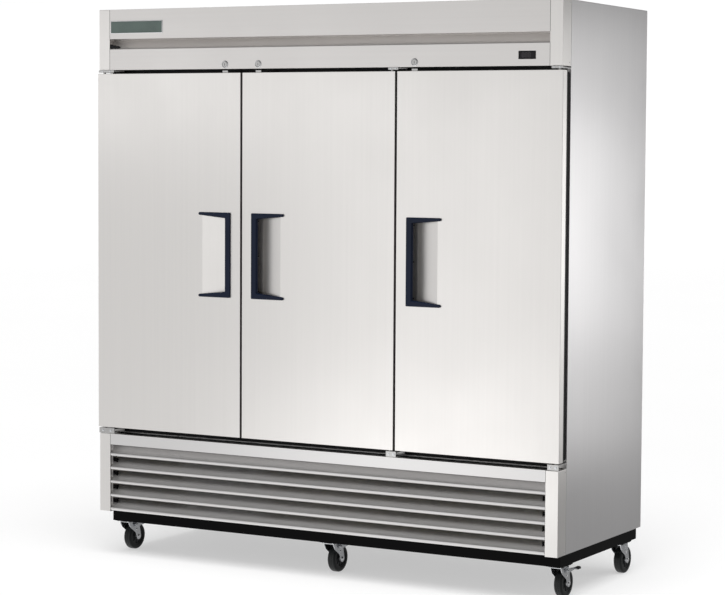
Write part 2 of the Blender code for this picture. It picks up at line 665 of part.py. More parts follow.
def build_hinges():
    """Above and below each door, a folded bracket on the cabinet face with the door's pin."""
    front = FACE - 0.002
    back = FRAME_FRONT - GAP
    ledge = DOOR_BOTTOM - 0.004
    brow = DOOR_TOP + 0.005
    for side, ends in HINGE_SPANS.items():
        hinge = DOORS[side]["hinge"]
        sign = 1 if hinge > DOORS[side]["free"] else -1
        pin_x = hinge - sign * PIN_INSET
        low = [(back, GRILLE_TOP + 0.0015), (back, ledge), (front, ledge), (front, GRILLE_TOP + 0.0015)]
        high = [(front, HEADER_BOTTOM - 0.0006), (front, brow), (back, brow),
                (back, HEADER_BOTTOM - 0.0006)]
        bottom = folded_sheet("hinge_bottom_" + side, low, ends, HINGE_SHEET, STAINLESS)
        top = folded_sheet("hinge_top_" + side, high, ends, HINGE_SHEET, STAINLESS)
        bottom_pin = ((pin_x, PIN_Y, ledge + 0.006), "z", PIN_RADIUS, 0.016)
        top_pin = ((pin_x, PIN_Y, brow - 0.006), "z", PIN_RADIUS, 0.016)
        boolean(bottom, cylinders("pin_bottom_" + side, [bottom_pin], STAINLESS, segments=12), "UNION")
        boolean(top, cylinders("pin_top_" + side, [top_pin], STAINLESS, segments=12), "UNION")


def build_locks():
    """Key cylinders in the header, each with a keyway and a cam behind the sheet."""
    plug = cylinders("lock_pattern", [((0, 0.011, 0), "y", LOCK_RADIUS, 0.026)], ZINC, segments=24)
    cam = ((-0.006, 0.023, -0.006), (0.006, 0.026, 0.028))
    boolean(plug, boxes("lock_cam", [cam], ZINC), "UNION")
    keyway = ((-0.0008, -0.01, -0.005), (0.0008, 0.004, 0.005))
    boolean(plug, boxes("cut_keyway", [keyway], ZINC, CUTTERS))
    shape = finished(plug)
    for side, x in LOCKS.items():
        lock = add("lock_" + side, shape, ZINC)
        lock.location = (x, FACE, LOCK_Z)


# ---- casters ------------------------------------------------------------------------------
def fork_mesh():
    """Top plate, two tapered legs that trail to the rear, and the axle with its heads."""
    top = boxes("fork_pattern", [((-FORK_HALF, -0.032, FORK_TOP - 0.0035), (FORK_HALF, 0.036, FORK_TOP))], ZINC)
    tail = arc((CASTER_TRAIL, WHEEL_RADIUS), 0.013, 10, -165, 6)
    outline = [(-0.032, FORK_TOP - 0.001), (0.036, FORK_TOP - 0.001)] + tail
    for name, x in (("leg_a", FORK_HALF - FORK_SHEET / 2), ("leg_b", -FORK_HALF + FORK_SHEET / 2)):
        place = Matrix(((0, 0, 1, x), (1, 0, 0, 0), (0, 1, 0, 0), (0, 0, 0, 1)))
        boolean(top, plate(name, [outline], FORK_SHEET, place, ZINC), "UNION")
    centre = (0.0, CASTER_TRAIL, WHEEL_RADIUS)
    rods = [(centre, "x", 0.0045, 2 * FORK_HALF + 0.002)]
    nuts = [((side * (FORK_HALF + 0.0015), centre[1], centre[2]), "x", 0.008, 0.005) for side in (-1, 1)]
    boolean(top, cylinders("axle", rods, ZINC, segments=12), "UNION")
    boolean(top, cylinders("axle_heads", nuts, ZINC, segments=12), "UNION")
    hole = cylinders("cut_kingpin", [((0, 0, FORK_TOP), "z", 0.0075, 0.02)], ZINC, CUTTERS, segments=12)
    boolean(top, hole)
    return finished(top)


def wheel_mesh():
    """Tyre with round shoulders and a dished side, bored for the axle."""
    half = WHEEL_WIDTH / 2
    shoulder = 0.007
    outer = arc((WHEEL_RADIUS - shoulder, half - shoulder), shoulder, 90, 0, 3)
    side = [(0.0055, half), (0.014, half), (0.016, half - 0.004), (0.036, half - 0.004), (0.038, half)]
    upper = side + outer
    profile = upper + [(r, -z) for r, z in reversed(upper)]
    return finished(turned("wheel_pattern", profile, TYRE, segments=28, closed=True))


def pedal_mesh():
    """Lever beside the fork leg, with a wide toe pad behind the wheel."""
    inner = FORK_HALF + 0.006
    y, z = BRAKE_PIVOT
    lever = boxes("pedal_pattern", [((inner, y - 0.010, z - 0.006), (inner + 0.003, 0.070, z + 0.006))],
                  BLACK_PLASTIC)
    pad = boxes("pedal_pad", [((inner + 0.001, 0.058, 0.0995), (0.047, 0.082, 0.1085))], BLACK_PLASTIC)
    boolean(lever, pad, "UNION")
    return finished(lever)


def build_casters():
    fork = fork_mesh()
    wheel = wheel_mesh()
    pedal = pedal_mesh()
    for place, x, y in caster_places():
        swivel = add("caster_fork_" + place, fork, ZINC)
        swivel.location = (x, y, 0.0)
        roller = add("caster_wheel_" + place, wheel, TYRE)
        roller.location = (x, y + CASTER_TRAIL, WHEEL_RADIUS)
        roller.rotation_euler = (0.0, pi / 2, 0.0)
        if place.startswith("front"):
            axis = pivot("brake_axis_" + place, (x, y + BRAKE_PIVOT[0], BRAKE_PIVOT[1]))
            lever = add("brake_pedal_" + place.split("_")[1], pedal, BLACK_PLASTIC)
            lever.location = (x, y, 0.0)
            bpy.context.view_layer.update()
            hang_on(axis, lever)


def main():
    build_cabinet()
    build_header()
    build_grille()
    build_base()
    build_compressor()
    build_condenser()
    build_evaporator()
    build_fan("condenser_fan", CONDENSER_FAN, TURN["y"], CONDENSER_FAN_RADIUS)
    build_fan("evaporator_fan", EVAPORATOR_FAN, TURN["z"], EVAPORATOR_FAN_RADIUS)
    build_shelves()
    for side, edges in DOORS.items():
        build_door(side, **edges)
    build_hinges()
    build_locks()
    build_casters()


main()
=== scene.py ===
"""Looks of the three-door reach-in refrigerator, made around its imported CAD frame.

Metres, +Z up, front towards -Y. New meshes are written in the frame's own coordinates, so a piece that
has no location of its own sits exactly where its points say.
"""

import json
from math import cos, pi, radians, sin

import bmesh
import bpy
from mathutils import Matrix, Vector


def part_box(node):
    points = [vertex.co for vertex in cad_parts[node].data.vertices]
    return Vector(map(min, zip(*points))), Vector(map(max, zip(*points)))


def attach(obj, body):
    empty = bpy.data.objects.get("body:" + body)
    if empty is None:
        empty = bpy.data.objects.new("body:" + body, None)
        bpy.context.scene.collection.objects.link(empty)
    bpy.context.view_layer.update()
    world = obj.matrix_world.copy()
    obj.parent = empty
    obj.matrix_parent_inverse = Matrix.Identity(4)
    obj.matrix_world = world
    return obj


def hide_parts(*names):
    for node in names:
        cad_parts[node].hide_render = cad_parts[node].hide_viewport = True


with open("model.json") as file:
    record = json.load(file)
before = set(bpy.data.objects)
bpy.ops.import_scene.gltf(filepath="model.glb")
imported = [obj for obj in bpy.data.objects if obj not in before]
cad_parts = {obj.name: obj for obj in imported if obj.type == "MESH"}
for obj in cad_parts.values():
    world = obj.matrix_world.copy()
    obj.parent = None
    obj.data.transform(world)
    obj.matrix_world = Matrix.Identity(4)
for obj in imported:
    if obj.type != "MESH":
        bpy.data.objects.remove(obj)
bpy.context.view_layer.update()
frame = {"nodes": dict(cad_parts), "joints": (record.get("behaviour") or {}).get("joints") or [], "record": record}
NODES = frame["nodes"]
PIVOTS = {joint["name"]: Vector(joint["pos_m"]) for joint in frame["joints"]}
SIDES = ("left", "middle", "right")
CASTERS = [row + "_" + side for row in ("front", "rear") for side in SIDES]

CAMERA_PLACE = Vector((4.2319, -7.1513, 1.5973))
CAMERA_YAW, CAMERA_PITCH, CAMERA_ROLL = 27.363, 3.487, 0.528
CAMERA_LENS = 107.82
CAMERA_SHIFT = (-0.1759, -0.0226)

X_AXIS, Y_AXIS, Z_AXIS = Vector((1, 0, 0)), Vector((0, 1, 0)), Vector((0, 0, 1))


# ---- materials ----------------------------------------------------------------------------
def shader_node(tree, kind, settings=None, **inputs):
    """A node with its inputs set to values, or linked where the value is another node's output."""
    node = tree.nodes.new("ShaderNode" + kind)
    for key, value in (settings or {}).items():
        setattr(node, key, value)
    set_inputs(tree, node, inputs)
    return node


def set_inputs(tree, node, inputs):
    """Socket names are written with _ for a space."""
    for name, value in inputs.items():
        socket = node.inputs[name.replace("_", " ")]
        if isinstance(value, bpy.types.NodeSocket):
            tree.links.new(value, socket)
        else:
            socket.default_value = value


def sockets_of(mat, **inputs):
    """Set or link inputs of a material's own shader."""
    set_inputs(mat.node_tree, mat.node_tree.nodes["Principled BSDF"], inputs)


def finish(name, colour, roughness, metallic=0.0, **sockets):
    """A Principled material; extra values are set straight on the shader's sockets."""
    mat = bpy.data.materials.new(name)
    mat.use_nodes = True
    mat.diffuse_color = (*colour, 1.0)
    sockets_of(mat, Base_Color=(*colour, 1.0), Roughness=roughness, Metallic=metallic, **sockets)
    return mat


def noise(mat, scale, detail=2.0, stretch=(1.0, 1.0, 1.0)):
    """A noise texture's value over the object's own coordinates, drawn out along an axis."""
    tree = mat.node_tree
    place = shader_node(tree, "TexCoord").outputs["Object"]
    spot = shader_node(tree, "Mapping", Vector=place, Scale=stretch).outputs["Vector"]
    return shader_node(tree, "TexNoise", Vector=spot, Scale=scale, Detail=detail).outputs["Fac"]


def spread(mat, value, low, high):
    """The middle of a noise value's range, mapped onto low..high."""
    return shader_node(mat.node_tree, "MapRange", Value=value, From_Min=0.3, From_Max=0.7, To_Min=low,
                       To_Max=high).outputs["Result"]


def total(tree, first, second, operation="ADD"):
    step = tree.nodes.new("ShaderNodeMath")
    step.operation = operation
    tree.links.new(first, step.inputs[0])
    tree.links.new(second, step.inputs[1])
    return step.outputs["Value"]


def tint(mat, value, colour, amount):
    """Colour that swings by the given share round its mean, driven by a noise value."""
    darker = (*(c * (1 - amount) for c in colour), 1.0)
    lighter = (*(min(1.0, c * (1 + amount)) for c in colour), 1.0)
    mix = shader_node(mat.node_tree, "Mix", {"data_type": "RGBA"}, A=darker, B=lighter,
                      Factor=spread(mat, value, 0.0, 1.0))
    sockets_of(mat, Base_Color=mix.outputs["Result"])


def roughen(mat, roughness, fine, fine_swing, broad, broad_swing):
    """Roughness that swings round its mean with a fine and a broad pattern, each by low and high amounts."""
    near = spread(mat, fine, roughness + fine_swing[0], roughness + fine_swing[1])
    sockets_of(mat, Roughness=total(mat.node_tree, near, spread(mat, broad, *broad_swing)))


def bump(mat, value, distance, strength=1.0, **under):
    """A bump of the given height in metres, over an earlier bump if one is passed as Normal."""
    step = shader_node(mat.node_tree, "Bump", Distance=distance, Strength=strength, Height=value, **under)
    sockets_of(mat, Normal=step.outputs["Normal"])
    return step.outputs["Normal"]


GRAIN = {"upright": (1.0, 1.0, 0.010), "level": (0.010, 1.0, 1.0)}


def brushed_steel(name, colour, roughness, grain, waves=0.0006, drawn=0.25, relief=1.0):
    """Rolled sheet with fine polishing lines along one axis, faint clouding and slightly uneven flatness."""
    mat = finish(name, colour, roughness, 1.0, Anisotropic=drawn,
                 Anisotropic_Rotation=0.0 if grain == "upright" else 0.25)
    tangent = shader_node(mat.node_tree, "Tangent", {"direction_type": "RADIAL", "axis": "Z"})
    sockets_of(mat, Tangent=tangent.outputs["Tangent"])
    lines = noise(mat, 1500.0, 2.0, GRAIN[grain])
    bands = noise(mat, 90.0, 3.0, GRAIN[grain])
    clouds = noise(mat, 3.5, 3.0)
    roughen(mat, roughness, lines, (-0.045 * relief, 0.035 * relief), clouds, (-0.025 * relief, 0.025 * relief))
    tint(mat, bands, colour, 0.010 * relief)
    flat = bump(mat, noise(mat, 2.3, 1.0), waves, 0.7)
    bump(mat, lines, 0.000008, 0.5 * relief, Normal=flat)
    return mat


def rolled_sheet(name, colour, roughness, scale=28.0, depth=0.00004, metallic=1.0):
    """Galvanised or mill-finish sheet: blurred crystal patches in tone and gloss."""
    mat = finish(name, colour, roughness, metallic)
    tree = mat.node_tree
    place = shader_node(tree, "TexCoord").outputs["Object"]
    cells = shader_node(tree, "TexVoronoi", Vector=place, Scale=scale)
    patches = shader_node(tree, "SeparateColor", Color=cells.outputs["Color"]).outputs["Red"]
    roughen(mat, roughness, patches, (-0.05, 0.05), noise(mat, 5.0), (-0.03, 0.03))
    tint(mat, patches, colour, 0.035)
    bump(mat, noise(mat, 60.0), depth, 0.6)
    return mat


def coated(name, colour, roughness, grain_scale, depth, tone=0.10, **sockets):
    """Paint, powder coat, moulded plastic, rubber or foam: a fine grain with broad dull and worn areas."""
    mat = finish(name, colour, roughness, 0.0, **sockets)
    grain = noise(mat, grain_scale, 3.0)
    broad = noise(mat, 7.0, 2.0)
    roughen(mat, roughness, grain, (-0.05, 0.05), broad, (-0.05, 0.05))
    tint(mat, broad, colour, tone)
    bump(mat, grain, depth, 0.7)
    return mat


def plated(name, colour, roughness):
    """Turned or plated metal with fine scratches and dull patches."""
    mat = finish(name, colour, roughness, 1.0)
    scratches = noise(mat, 420.0, 4.0, (1.0, 0.15, 1.0))
    patches = noise(mat, 35.0, 3.0)
    roughen(mat, roughness, scratches, (-0.05, 0.05), patches, (-0.06, 0.06))
    tint(mat, patches, colour, 0.08)
    bump(mat, scratches, 0.00002, 0.5)
    return mat


# Each finish is a material and the name of the slot that it stands for.
STEEL_COLOUR = (0.81, 0.79, 0.77)
UPRIGHT_STEEL = brushed_steel("steel_upright_grain", STEEL_COLOUR, 0.36, "upright"), "stainless"
SIDE_STEEL = brushed_steel("steel_side_panels", (0.785, 0.774, 0.776), 0.36, "upright"), "stainless"
LEVEL_STEEL = brushed_steel("steel_level_grain", (0.735, 0.715, 0.70), 0.38, "level", 0.0), "stainless"
LOUVRE_STEEL = brushed_steel("steel_louvres", (0.74, 0.73, 0.725), 0.42, "level", 0.0, 0.0, 0.15), "stainless"
GALVANISED = rolled_sheet("galvanised_sheet", (0.62, 0.63, 0.64), 0.45), "galvanised"
ROOF_SHEET = rolled_sheet("dull_galvanised_roof", (0.60, 0.61, 0.62), 0.55, metallic=0.55), "galvanised"
ALUMINIUM = rolled_sheet("mill_aluminium", (0.78, 0.79, 0.80), 0.42, 9.0, 0.00006), "aluminium"
ZINC = plated("bright_zinc", (0.68, 0.69, 0.71), 0.24), "zinc"
# Duller plated zinc for the hinges, locks, keepers and sill edge; its tone, darker than the bright zinc, is partly
# real duller plating and partly painted shade of the door gaps where the hinges sit.
SHADE_DARKENED_ZINC = plated("zinc_darkened_as_painted_shade", (0.50, 0.495, 0.49), 0.34), "stainless"
LOCK_METAL = SHADE_DARKENED_ZINC[0], "zinc"
CHROME = plated("bright_chrome", (0.80, 0.80, 0.81), 0.16), "zinc"
BEZEL_CHROME = CHROME[0], "stainless"
COPPER = plated("copper_tube", (0.76, 0.38, 0.24), 0.32), "aluminium"
BLACK_COAT = coated("black_powder_coat", (0.0028, 0.0026, 0.0029), 0.42, 900.0, 0.00008,
                    Specular_IOR_Level=0.05), "black_steel"
BLACK_MOULDED = coated("black_moulded_plastic", (0.006, 0.006, 0.007), 0.45, 1400.0, 0.00005,
                       Specular_IOR_Level=0.18), "black_plastic"
NAVY_MOULDED = coated("handle_moulded_plastic", (0.006, 0.0105, 0.026), 0.36, 1600.0, 0.00004,
                      Specular_IOR_Level=0.16), "black_plastic"
RUBBER = coated("gasket_rubber", (0.006, 0.006, 0.007), 0.60, 500.0, 0.00006, Specular_IOR_Level=0.20), "gasket"
TYRE = coated("tyre_rubber", (0.008, 0.0095, 0.010), 0.36, 700.0, 0.00008, 0.18,
              Specular_IOR_Level=0.3), "tyre"
HUB = coated("wheel_hub_plastic", (0.022, 0.024, 0.026), 0.42, 900.0, 0.00005), "black_plastic"
WIRE_COAT = coated("wire_coating", (0.80, 0.81, 0.81), 0.33, 260.0, 0.00006, 0.04, Coat_Weight=0.3), "shelf_coating"
FOAM = coated("cabinet_foam", (0.72, 0.62, 0.36), 0.90, 380.0, 0.0006), "foam"
BADGE = coated("badge_enamel", (0.070, 0.105, 0.092), 0.30, 1100.0, 0.00002, 0.25, Coat_Weight=0.3), "black_plastic"
GLASS = coated("display_window", (0.006, 0.005, 0.007), 0.22, 80.0, 0.00001, 0.20, Specular_IOR_Level=0.25), "display"
SEGMENTS = coated("display_segments", (0.060, 0.052, 0.060), 0.35, 600.0, 0.00001), "display"
LAMP = coated("lamp_diffuser", (0.86, 0.87, 0.85), 0.38, 300.0, 0.00005, 0.03), "shelf_coating"


# ---- mesh helpers -------------------------------------------------------------------------
def new_object(name, data):
    obj = bpy.data.objects.new(name, data)
    bpy.context.scene.collection.objects.link(obj)
    return obj


def evenly(start, end, count):
    return [start + (end - start) * k / (count - 1) for k in range(count)]


def mesh_from(name, bm):
    bmesh.ops.recalc_face_normals(bm, faces=bm.faces)
    mesh = bpy.data.meshes.new(name)
    bm.to_mesh(mesh)
    bm.free()
    return mesh


def piece(name, bm, *details, **more):
    """Make a bmesh into a named piece that rides on a CAD body; details are as for placed()."""
    return placed(name, mesh_from(name, bm), *details, **more)


def placed(name, mesh, coat, edge=0.0, body="cabinet", place=None, stands_for=(), thickness=0.0):
    """A named piece from a mesh, which several pieces may share."""
    if not mesh.materials:
        mesh.materials.append(coat[0])
        mesh.shade_smooth()
        mesh.set_sharp_from_angle(angle=radians(38))
    obj = new_object(name, mesh)
    if place is not None:
        obj.matrix_world = place
    if thickness:
        solid = obj.modifiers.new("thickness", "SOLIDIFY")
        solid.thickness = thickness
        solid.offset = 1.0
        solid.use_even_offset = True
    if edge:
        round_edges(obj, edge)
    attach(obj, body)
    if stands_for:
        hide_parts(*stands_for)
    return obj


def round_edges(obj, width, segments=2):
    bevel = obj.modifiers.new("rounded_edges", "BEVEL")
    bevel.width = width
    bevel.segments = segments
    bevel.limit_method = "ANGLE"
    bevel.angle_limit = radians(40)
    normals = obj.modifiers.new("flat_faces", "WEIGHTED_NORMAL")
    normals.keep_sharp = True


def settle(node, axis):
    """Let a sheet lie a hair lower, so that flat screw heads on it end level with the CAD face."""
    step = NODES[node].modifiers.new("below_screw_heads", "DISPLACE")
    step.direction = axis
    step.mid_level = 0.0
    step.strength = -HEAD_HEIGHT


def dress(node, coat, edge=0.0):
    """Give a carried-over CAD node its finish, and its sharp edges a small radius."""
    obj = NODES[node]
    obj.data.materials.clear()
    obj.data.materials.append(coat[0])
    if edge:
        weld = obj.modifiers.new("joined_corners", "WELD")
        weld.merge_threshold = 0.00002
        round_edges(obj, edge)


def block(bm, low, high):
    low, high = Vector(low), Vector(high)
    place = Matrix.Translation((low + high) / 2) @ Matrix.Diagonal((*(high - low), 1.0))
    bmesh.ops.create_cube(bm, size=1.0, matrix=place)


def rod(bm, start, end, radius, sides=10):
    start, end = Vector(start), Vector(end)
    along = end - start
    turn = along.to_track_quat("Z", "Y").to_matrix().to_4x4()
    bmesh.ops.create_cone(bm, cap_ends=True, segments=sides, radius1=radius, radius2=radius,
                          depth=along.length, matrix=Matrix.Translation((start + end) / 2) @ turn)


def aimed(place, axis):
    """A matrix whose Z points along axis, at a place."""
    return Matrix.Translation(place) @ Vector(axis).to_track_quat("Z", "Y").to_matrix().to_4x4()


def side_on(x, y=0.0, z=0.0):
    """A matrix whose local X runs to the rear and local Y upwards, in the plane across the object at x."""
    return Matrix(((0, 0, 1, x), (1, 0, 0, y), (0, 1, 0, z), (0, 0, 0, 1)))


def face_on(x, y, z, sign=1):
    """A matrix whose local X runs to the right, or to the left if sign is -1, and local Y upwards."""
    return Matrix(((sign, 0, 0, x), (0, 0, 1, y), (0, 1, 0, z), (0, 0, 0, 1)))


def revolve(bm, profile, place, segments=32, closed=False):
    """Turn (radius, height) points round local Z; a closed profile makes a ring."""
    rings = []
    for radius, height in profile:
        count = segments if radius > 1e-7 else 1
        angles = [2 * pi * k / count for k in range(count)]
        rings.append([bm.verts.new(place @ Vector((radius * cos(a), radius * sin(a), height))) for a in angles])
    pairs = list(zip(rings, rings[1:]))
    if closed:
        pairs.append((rings[-1], rings[0]))
    for lower, upper in pairs:
        for k in range(segments):
            after = (k + 1) % segments
            corners = (lower[k % len(lower)], lower[after % len(lower)],
                       upper[after % len(upper)], upper[k % len(upper)])
            bm.faces.new(list(dict.fromkeys(corners)))


def prism(bm, outline, place, thickness):
    """A closed outline in local XY, as a plate centred on that plane."""
    layers = []
    for height in (-thickness / 2, thickness / 2):
        layers.append([bm.verts.new(place @ Vector((a, b, height))) for a, b in outline])
    bm.faces.new(layers[0])
    bm.faces.new(layers[1])
    count = len(outline)
    for k in range(count):
        after = (k + 1) % count
        bm.faces.new((layers[0][k], layers[0][after], layers[1][after], layers[1][k]))


def arc(centre, radius, start, end, steps):
    """Points on an arc, both ends included, with angles in degrees."""
    angles = [radians(start + (end - start) * k / steps) for k in range(steps + 1)]
    return [(centre[0] + radius * cos(a), centre[1] + radius * sin(a)) for a in angles]


def picture_frame(bm, section, low, high, filled=False):
    """Sweep (inset, y) points round an upright rectangle: a closed ring, or a dish with a filled middle."""
    rings = []
    for inset, y in section:
        corners = ((low.x + inset, low.z + inset), (high.x - inset, low.z + inset),
                   (high.x - inset, high.z - inset), (low.x + inset, high.z - inset))
        rings.append([bm.verts.new((x, y, z)) for x, z in corners])
    pairs = list(zip(rings, rings[1:]))
    if not filled:
        pairs.append((rings[-1], rings[0]))
    for outer, inner in pairs:
        for k in range(4):
            after = (k + 1) % 4
            bm.faces.new((outer[k], outer[after], inner[after], inner[k]))
    if filled:
        bm.faces.new(rings[-1])


HEAD_HEIGHT = 0.0003


def flat_screw(bm, place, axis, radius):
    """A countersunk head with a cross recess, its rim standing HEAD_HEIGHT over the sheet."""
    spot = aimed(place, axis)
    revolve(bm, [(0.0, -0.002), (radius, -0.0004), (radius, HEAD_HEIGHT * 0.6), (radius * 0.92, HEAD_HEIGHT),
                 (radius * 0.42, HEAD_HEIGHT), (radius * 0.36, -0.0008), (0.0, -0.0010)], spot, segments=16)


def screw_head(bm, place, axis, radius):
    """A pan head with a six-sided socket, standing on a surface."""
    spot = aimed(place, axis)
    height = radius * 0.55
    dome = [(radius, 0.0), (radius, height * 0.45), (radius * 0.86, height * 0.82), (radius * 0.55, height)]
    revolve(bm, [(0.0, 0.0)] + dome + [(radius * 0.42, height), (radius * 0.40, height * 0.35), (0.0, height * 0.3)],
            spot, segments=18)


def hex_bolt(bm, place, axis, radius, height):
    """A hexagonal head on a round washer."""
    spot = aimed(place, axis)
    revolve(bm, [(0.0, 0.0), (radius * 1.28, 0.0), (radius * 1.28, height * 0.22), (0.0, height * 0.22)],
            spot, segments=20)
    revolve(bm, [(0.0, height * 0.2), (radius, height * 0.2), (radius, height * 0.85), (radius * 0.86, height),
                 (0.0, height)], spot, segments=6)


def pipe(name, points, radius, coat):
    """A tube that bends smoothly past a few points, from the first to the last."""
    curve = bpy.data.curves.new(name, "CURVE")
    curve.dimensions = "3D"
    curve.bevel_depth = radius
    curve.bevel_resolution = 3
    curve.use_fill_caps = True
    curve.resolution_u = 8
    spline = curve.splines.new("NURBS")
    spline.points.add(len(points) - 1)
    for point, place in zip(spline.points, points):
        point.co = (*place, 1.0)
    spline.order_u = 3
    spline.use_endpoint_u = True
    curve.materials.append(coat[0])
    obj = new_object(name, curve)
    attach(obj, "cabinet")
    return obj


# ---- carried-over CAD nodes ---------------------------------------------------------------
def dress_cabinet():
    for side in ("left", "right"):
        dress("side_panel_" + side, SIDE_STEEL, 0.0015)
        dress("header_post_" + side, UPRIGHT_STEEL, 0.0012)
        dress("grille_post_" + side, UPRIGHT_STEEL, 0.0012)
    dress("header_panel", LEVEL_STEEL, 0.0006)
    dress("grille_panel", LOUVRE_STEEL, 0.0004)
    dress("top_panel", ROOF_SHEET, 0.0006)
    dress("back_panel", GALVANISED)
    dress("inner_liner", ALUMINIUM)
    dress("foam_insulation", FOAM)
    dress("face_frame", BLACK_MOULDED, 0.0015)
    dress("base_frame", BLACK_COAT, 0.0008)
    dress("compressor", BLACK_COAT, 0.0010)
    dress("condenser_coil", ALUMINIUM)
    dress("evaporator_housing", ALUMINIUM, 0.0006)
    for side in SIDES:
        # Hinges take the zinc whose darker tone is partly painted shade of the door gaps.
        dress("hinge_bottom_" + side, SHADE_DARKENED_ZINC, 0.0006)
        dress("hinge_top_" + side, SHADE_DARKENED_ZINC, 0.0006)
        dress("lock_" + side, LOCK_METAL, 0.0003)
        dress("door_skin_" + side, UPRIGHT_STEEL, 0.0010)


# ---- doors --------------------------------------------------------------------------------
LIP_REACH = 0.003                 # how far the handle's inner lip stands into the opening
LIP_DEPTH = 0.005


def build_door(side):
    """A door's moulded frame, pressed inner panel and screws, then its seal and its handle."""
    body = "door_" + side
    low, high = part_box("door_core_" + side)
    back = high.y
    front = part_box("door_skin_" + side)[1].y - 0.006

    bm = bmesh.new()
    rim = [(0.0, front), (0.0, back - 0.002), (0.002, back), (0.0075, back), (0.0075, back - 0.003),
           (0.0275, back - 0.003), (0.0275, back), (0.044, back), (0.047, back - 0.003), (0.047, front)]
    picture_frame(bm, rim, low, high)
    piece("door_breaker_frame_" + side, bm, BLACK_MOULDED, 0.0007, body, stands_for=("door_core_" + side,))

    bm = bmesh.new()
    dish = [(0.0455, back - 0.0045), (0.0475, back - 0.0025), (0.080, back - 0.0025), (0.094, back - 0.0145)]
    picture_frame(bm, dish, low, high, filled=True)
    piece("door_inner_panel_" + side, bm, ALUMINIUM, 0.0020, body, thickness=0.0009)

    bm = bmesh.new()
    for height in evenly(low.z + 0.060, high.z - 0.060, 9):
        for x in (low.x + 0.038, high.x - 0.038):
            screw_head(bm, (x, back, height), Y_AXIS, 0.0032)
    piece("door_panel_screws_" + side, bm, ZINC, body=body)
    build_gasket(side, body)
    build_handle(side, body)


def build_gasket(side, body):
    """Magnetic seal: a barbed base, a folded bellows and the flat magnet pocket."""
    low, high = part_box("door_gasket_" + side)
    bottom, top = low.y, high.y
    rise = top - bottom
    section = [(0.0010, 0.0), (0.0010, 0.16), (0.0030, 0.26), (0.0006, 0.40), (0.0006, 0.68), (0.0014, 0.86),
               (0.0036, 0.97), (0.0056, 1.0), (0.0130, 1.0), (0.0160, 0.93), (0.0170, 0.76), (0.0168, 0.60),
               (0.0142, 0.50), (0.0168, 0.38), (0.0168, 0.20), (0.0145, 0.12), (0.0165, 0.0)]
    bm = bmesh.new()
    picture_frame(bm, [(inset, bottom + rise * share) for inset, share in section], low, high)
    piece("door_seal_" + side, bm, RUBBER, 0.0004, body, stands_for=("door_gasket_" + side,))


def build_handle(side, body):
    """A bar with two tapering arms, and a lip that turns into the finger pocket."""
    low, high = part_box("door_handle_" + side)
    start, sign = (high.x, -1) if side == "left" else (low.x, 1)
    bar, tip, reach = 0.022, 0.0055, high.x - low.x
    flank = 0.020
    face, seat = low.y, high.y
    middle = (low.z + high.z) / 2
    half = (high.z - low.z) / 2

    def spot(u, z, y):
        return Vector((start + sign * u, y, middle + z))

    corner = 0.0035
    outline = arc((corner, -half + corner), corner, 270, 180, 3) + arc((corner, half - corner), corner, 180, 90, 3)
    outline += arc((reach - tip, half - tip), tip, 90, -80, 8)
    outline += [(bar + 0.004, half - flank + 0.0004)] + arc((bar + 0.003, half - flank - 0.003), 0.003, 90, 180, 3)
    outline += arc((bar + 0.003, -half + flank + 0.003), 0.003, 180, 270, 3) + [(bar + 0.004, -half + flank - 0.0004)]
    outline += arc((reach - tip, -half + tip), tip, 80, -90, 8)
    bm = bmesh.new()
    prism(bm, outline, face_on(start, (face + seat) / 2, middle, sign), seat - face)
    handle = piece("door_pull_" + side, bm, NAVY_MOULDED, body=body, stands_for=("door_handle_" + side,))
    round_edges(handle, 0.0019, 3)

    upper = [(reach - tip, half - 2 * tip, 0.10), (bar, half - flank, 1.0)]
    stations = upper + [(u, -z, share) for u, z, share in reversed(upper)]
    bm = bmesh.new()
    rings = []
    for u, z, share in stations:
        inward = -1 if z > 0 else 1
        depth = LIP_DEPTH * share
        inside = (u + (LIP_REACH * share if u < reach / 2 else 0.0), z + inward * LIP_REACH * share * 0.55)
        outside = (u - 0.0015, z - inward * 0.0015)
        rings.append([bm.verts.new(spot(*outside, face + 0.0022)), bm.verts.new(spot(*inside, seat + depth * 0.45)),
                      bm.verts.new(spot(*inside, seat + depth)), bm.verts.new(spot(*outside, seat + depth))])
    for first, second in zip(rings, rings[1:]):
        for k in range(4):
            after = (k + 1) % 4
            bm.faces.new((first[k], first[after], second[after], second[k]))
    bm.faces.new(rings[0])
    bm.faces.new(rings[-1])
    piece("door_pull_lip_" + side, bm, NAVY_MOULDED, 0.0009, body)

    bm = bmesh.new()
    for share in (-0.82, 0.0, 0.82):
        screw_head(bm, spot(bar + 0.0035, half * share, seat + 0.0085), -Y_AXIS, 0.0021)
    piece("door_pull_screws_" + side, bm, BLACK_COAT, body=body)


def build_strikes():
    """A small keeper on top of each door, which the lock's cam drops behind."""
    for side in SIDES:
        low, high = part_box("door_skin_" + side)
        x = PIVOTS["lock_%s_turn" % side].x
        bm = bmesh.new()
        block(bm, (x - 0.012, low.y + 0.006, high.z), (x + 0.012, low.y + 0.024, high.z + 0.0015))
        block(bm, (x - 0.012, low.y + 0.006, high.z + 0.0005), (x + 0.012, low.y + 0.0075, high.z + 0.0085))
        for dx in (-0.007, 0.007):
            screw_head(bm, (x + dx, low.y + 0.017, high.z + 0.0015), Z_AXIS, 0.0022)
        piece("lock_keeper_" + side, bm, LOCK_METAL, 0.0003, "door_" + side)


# ---- header and grille --------------------------------------------------------------------
GROOVE_TOP_DROP = 0.0204          # the header's groove, measured down from the badge's lower edge
GROOVE_BOTTOM_DROP = 0.0600
LOUVRE_FIRST = 0.1820             # height of the lowest louvre's nose
LOUVRE_PITCH = 0.0534


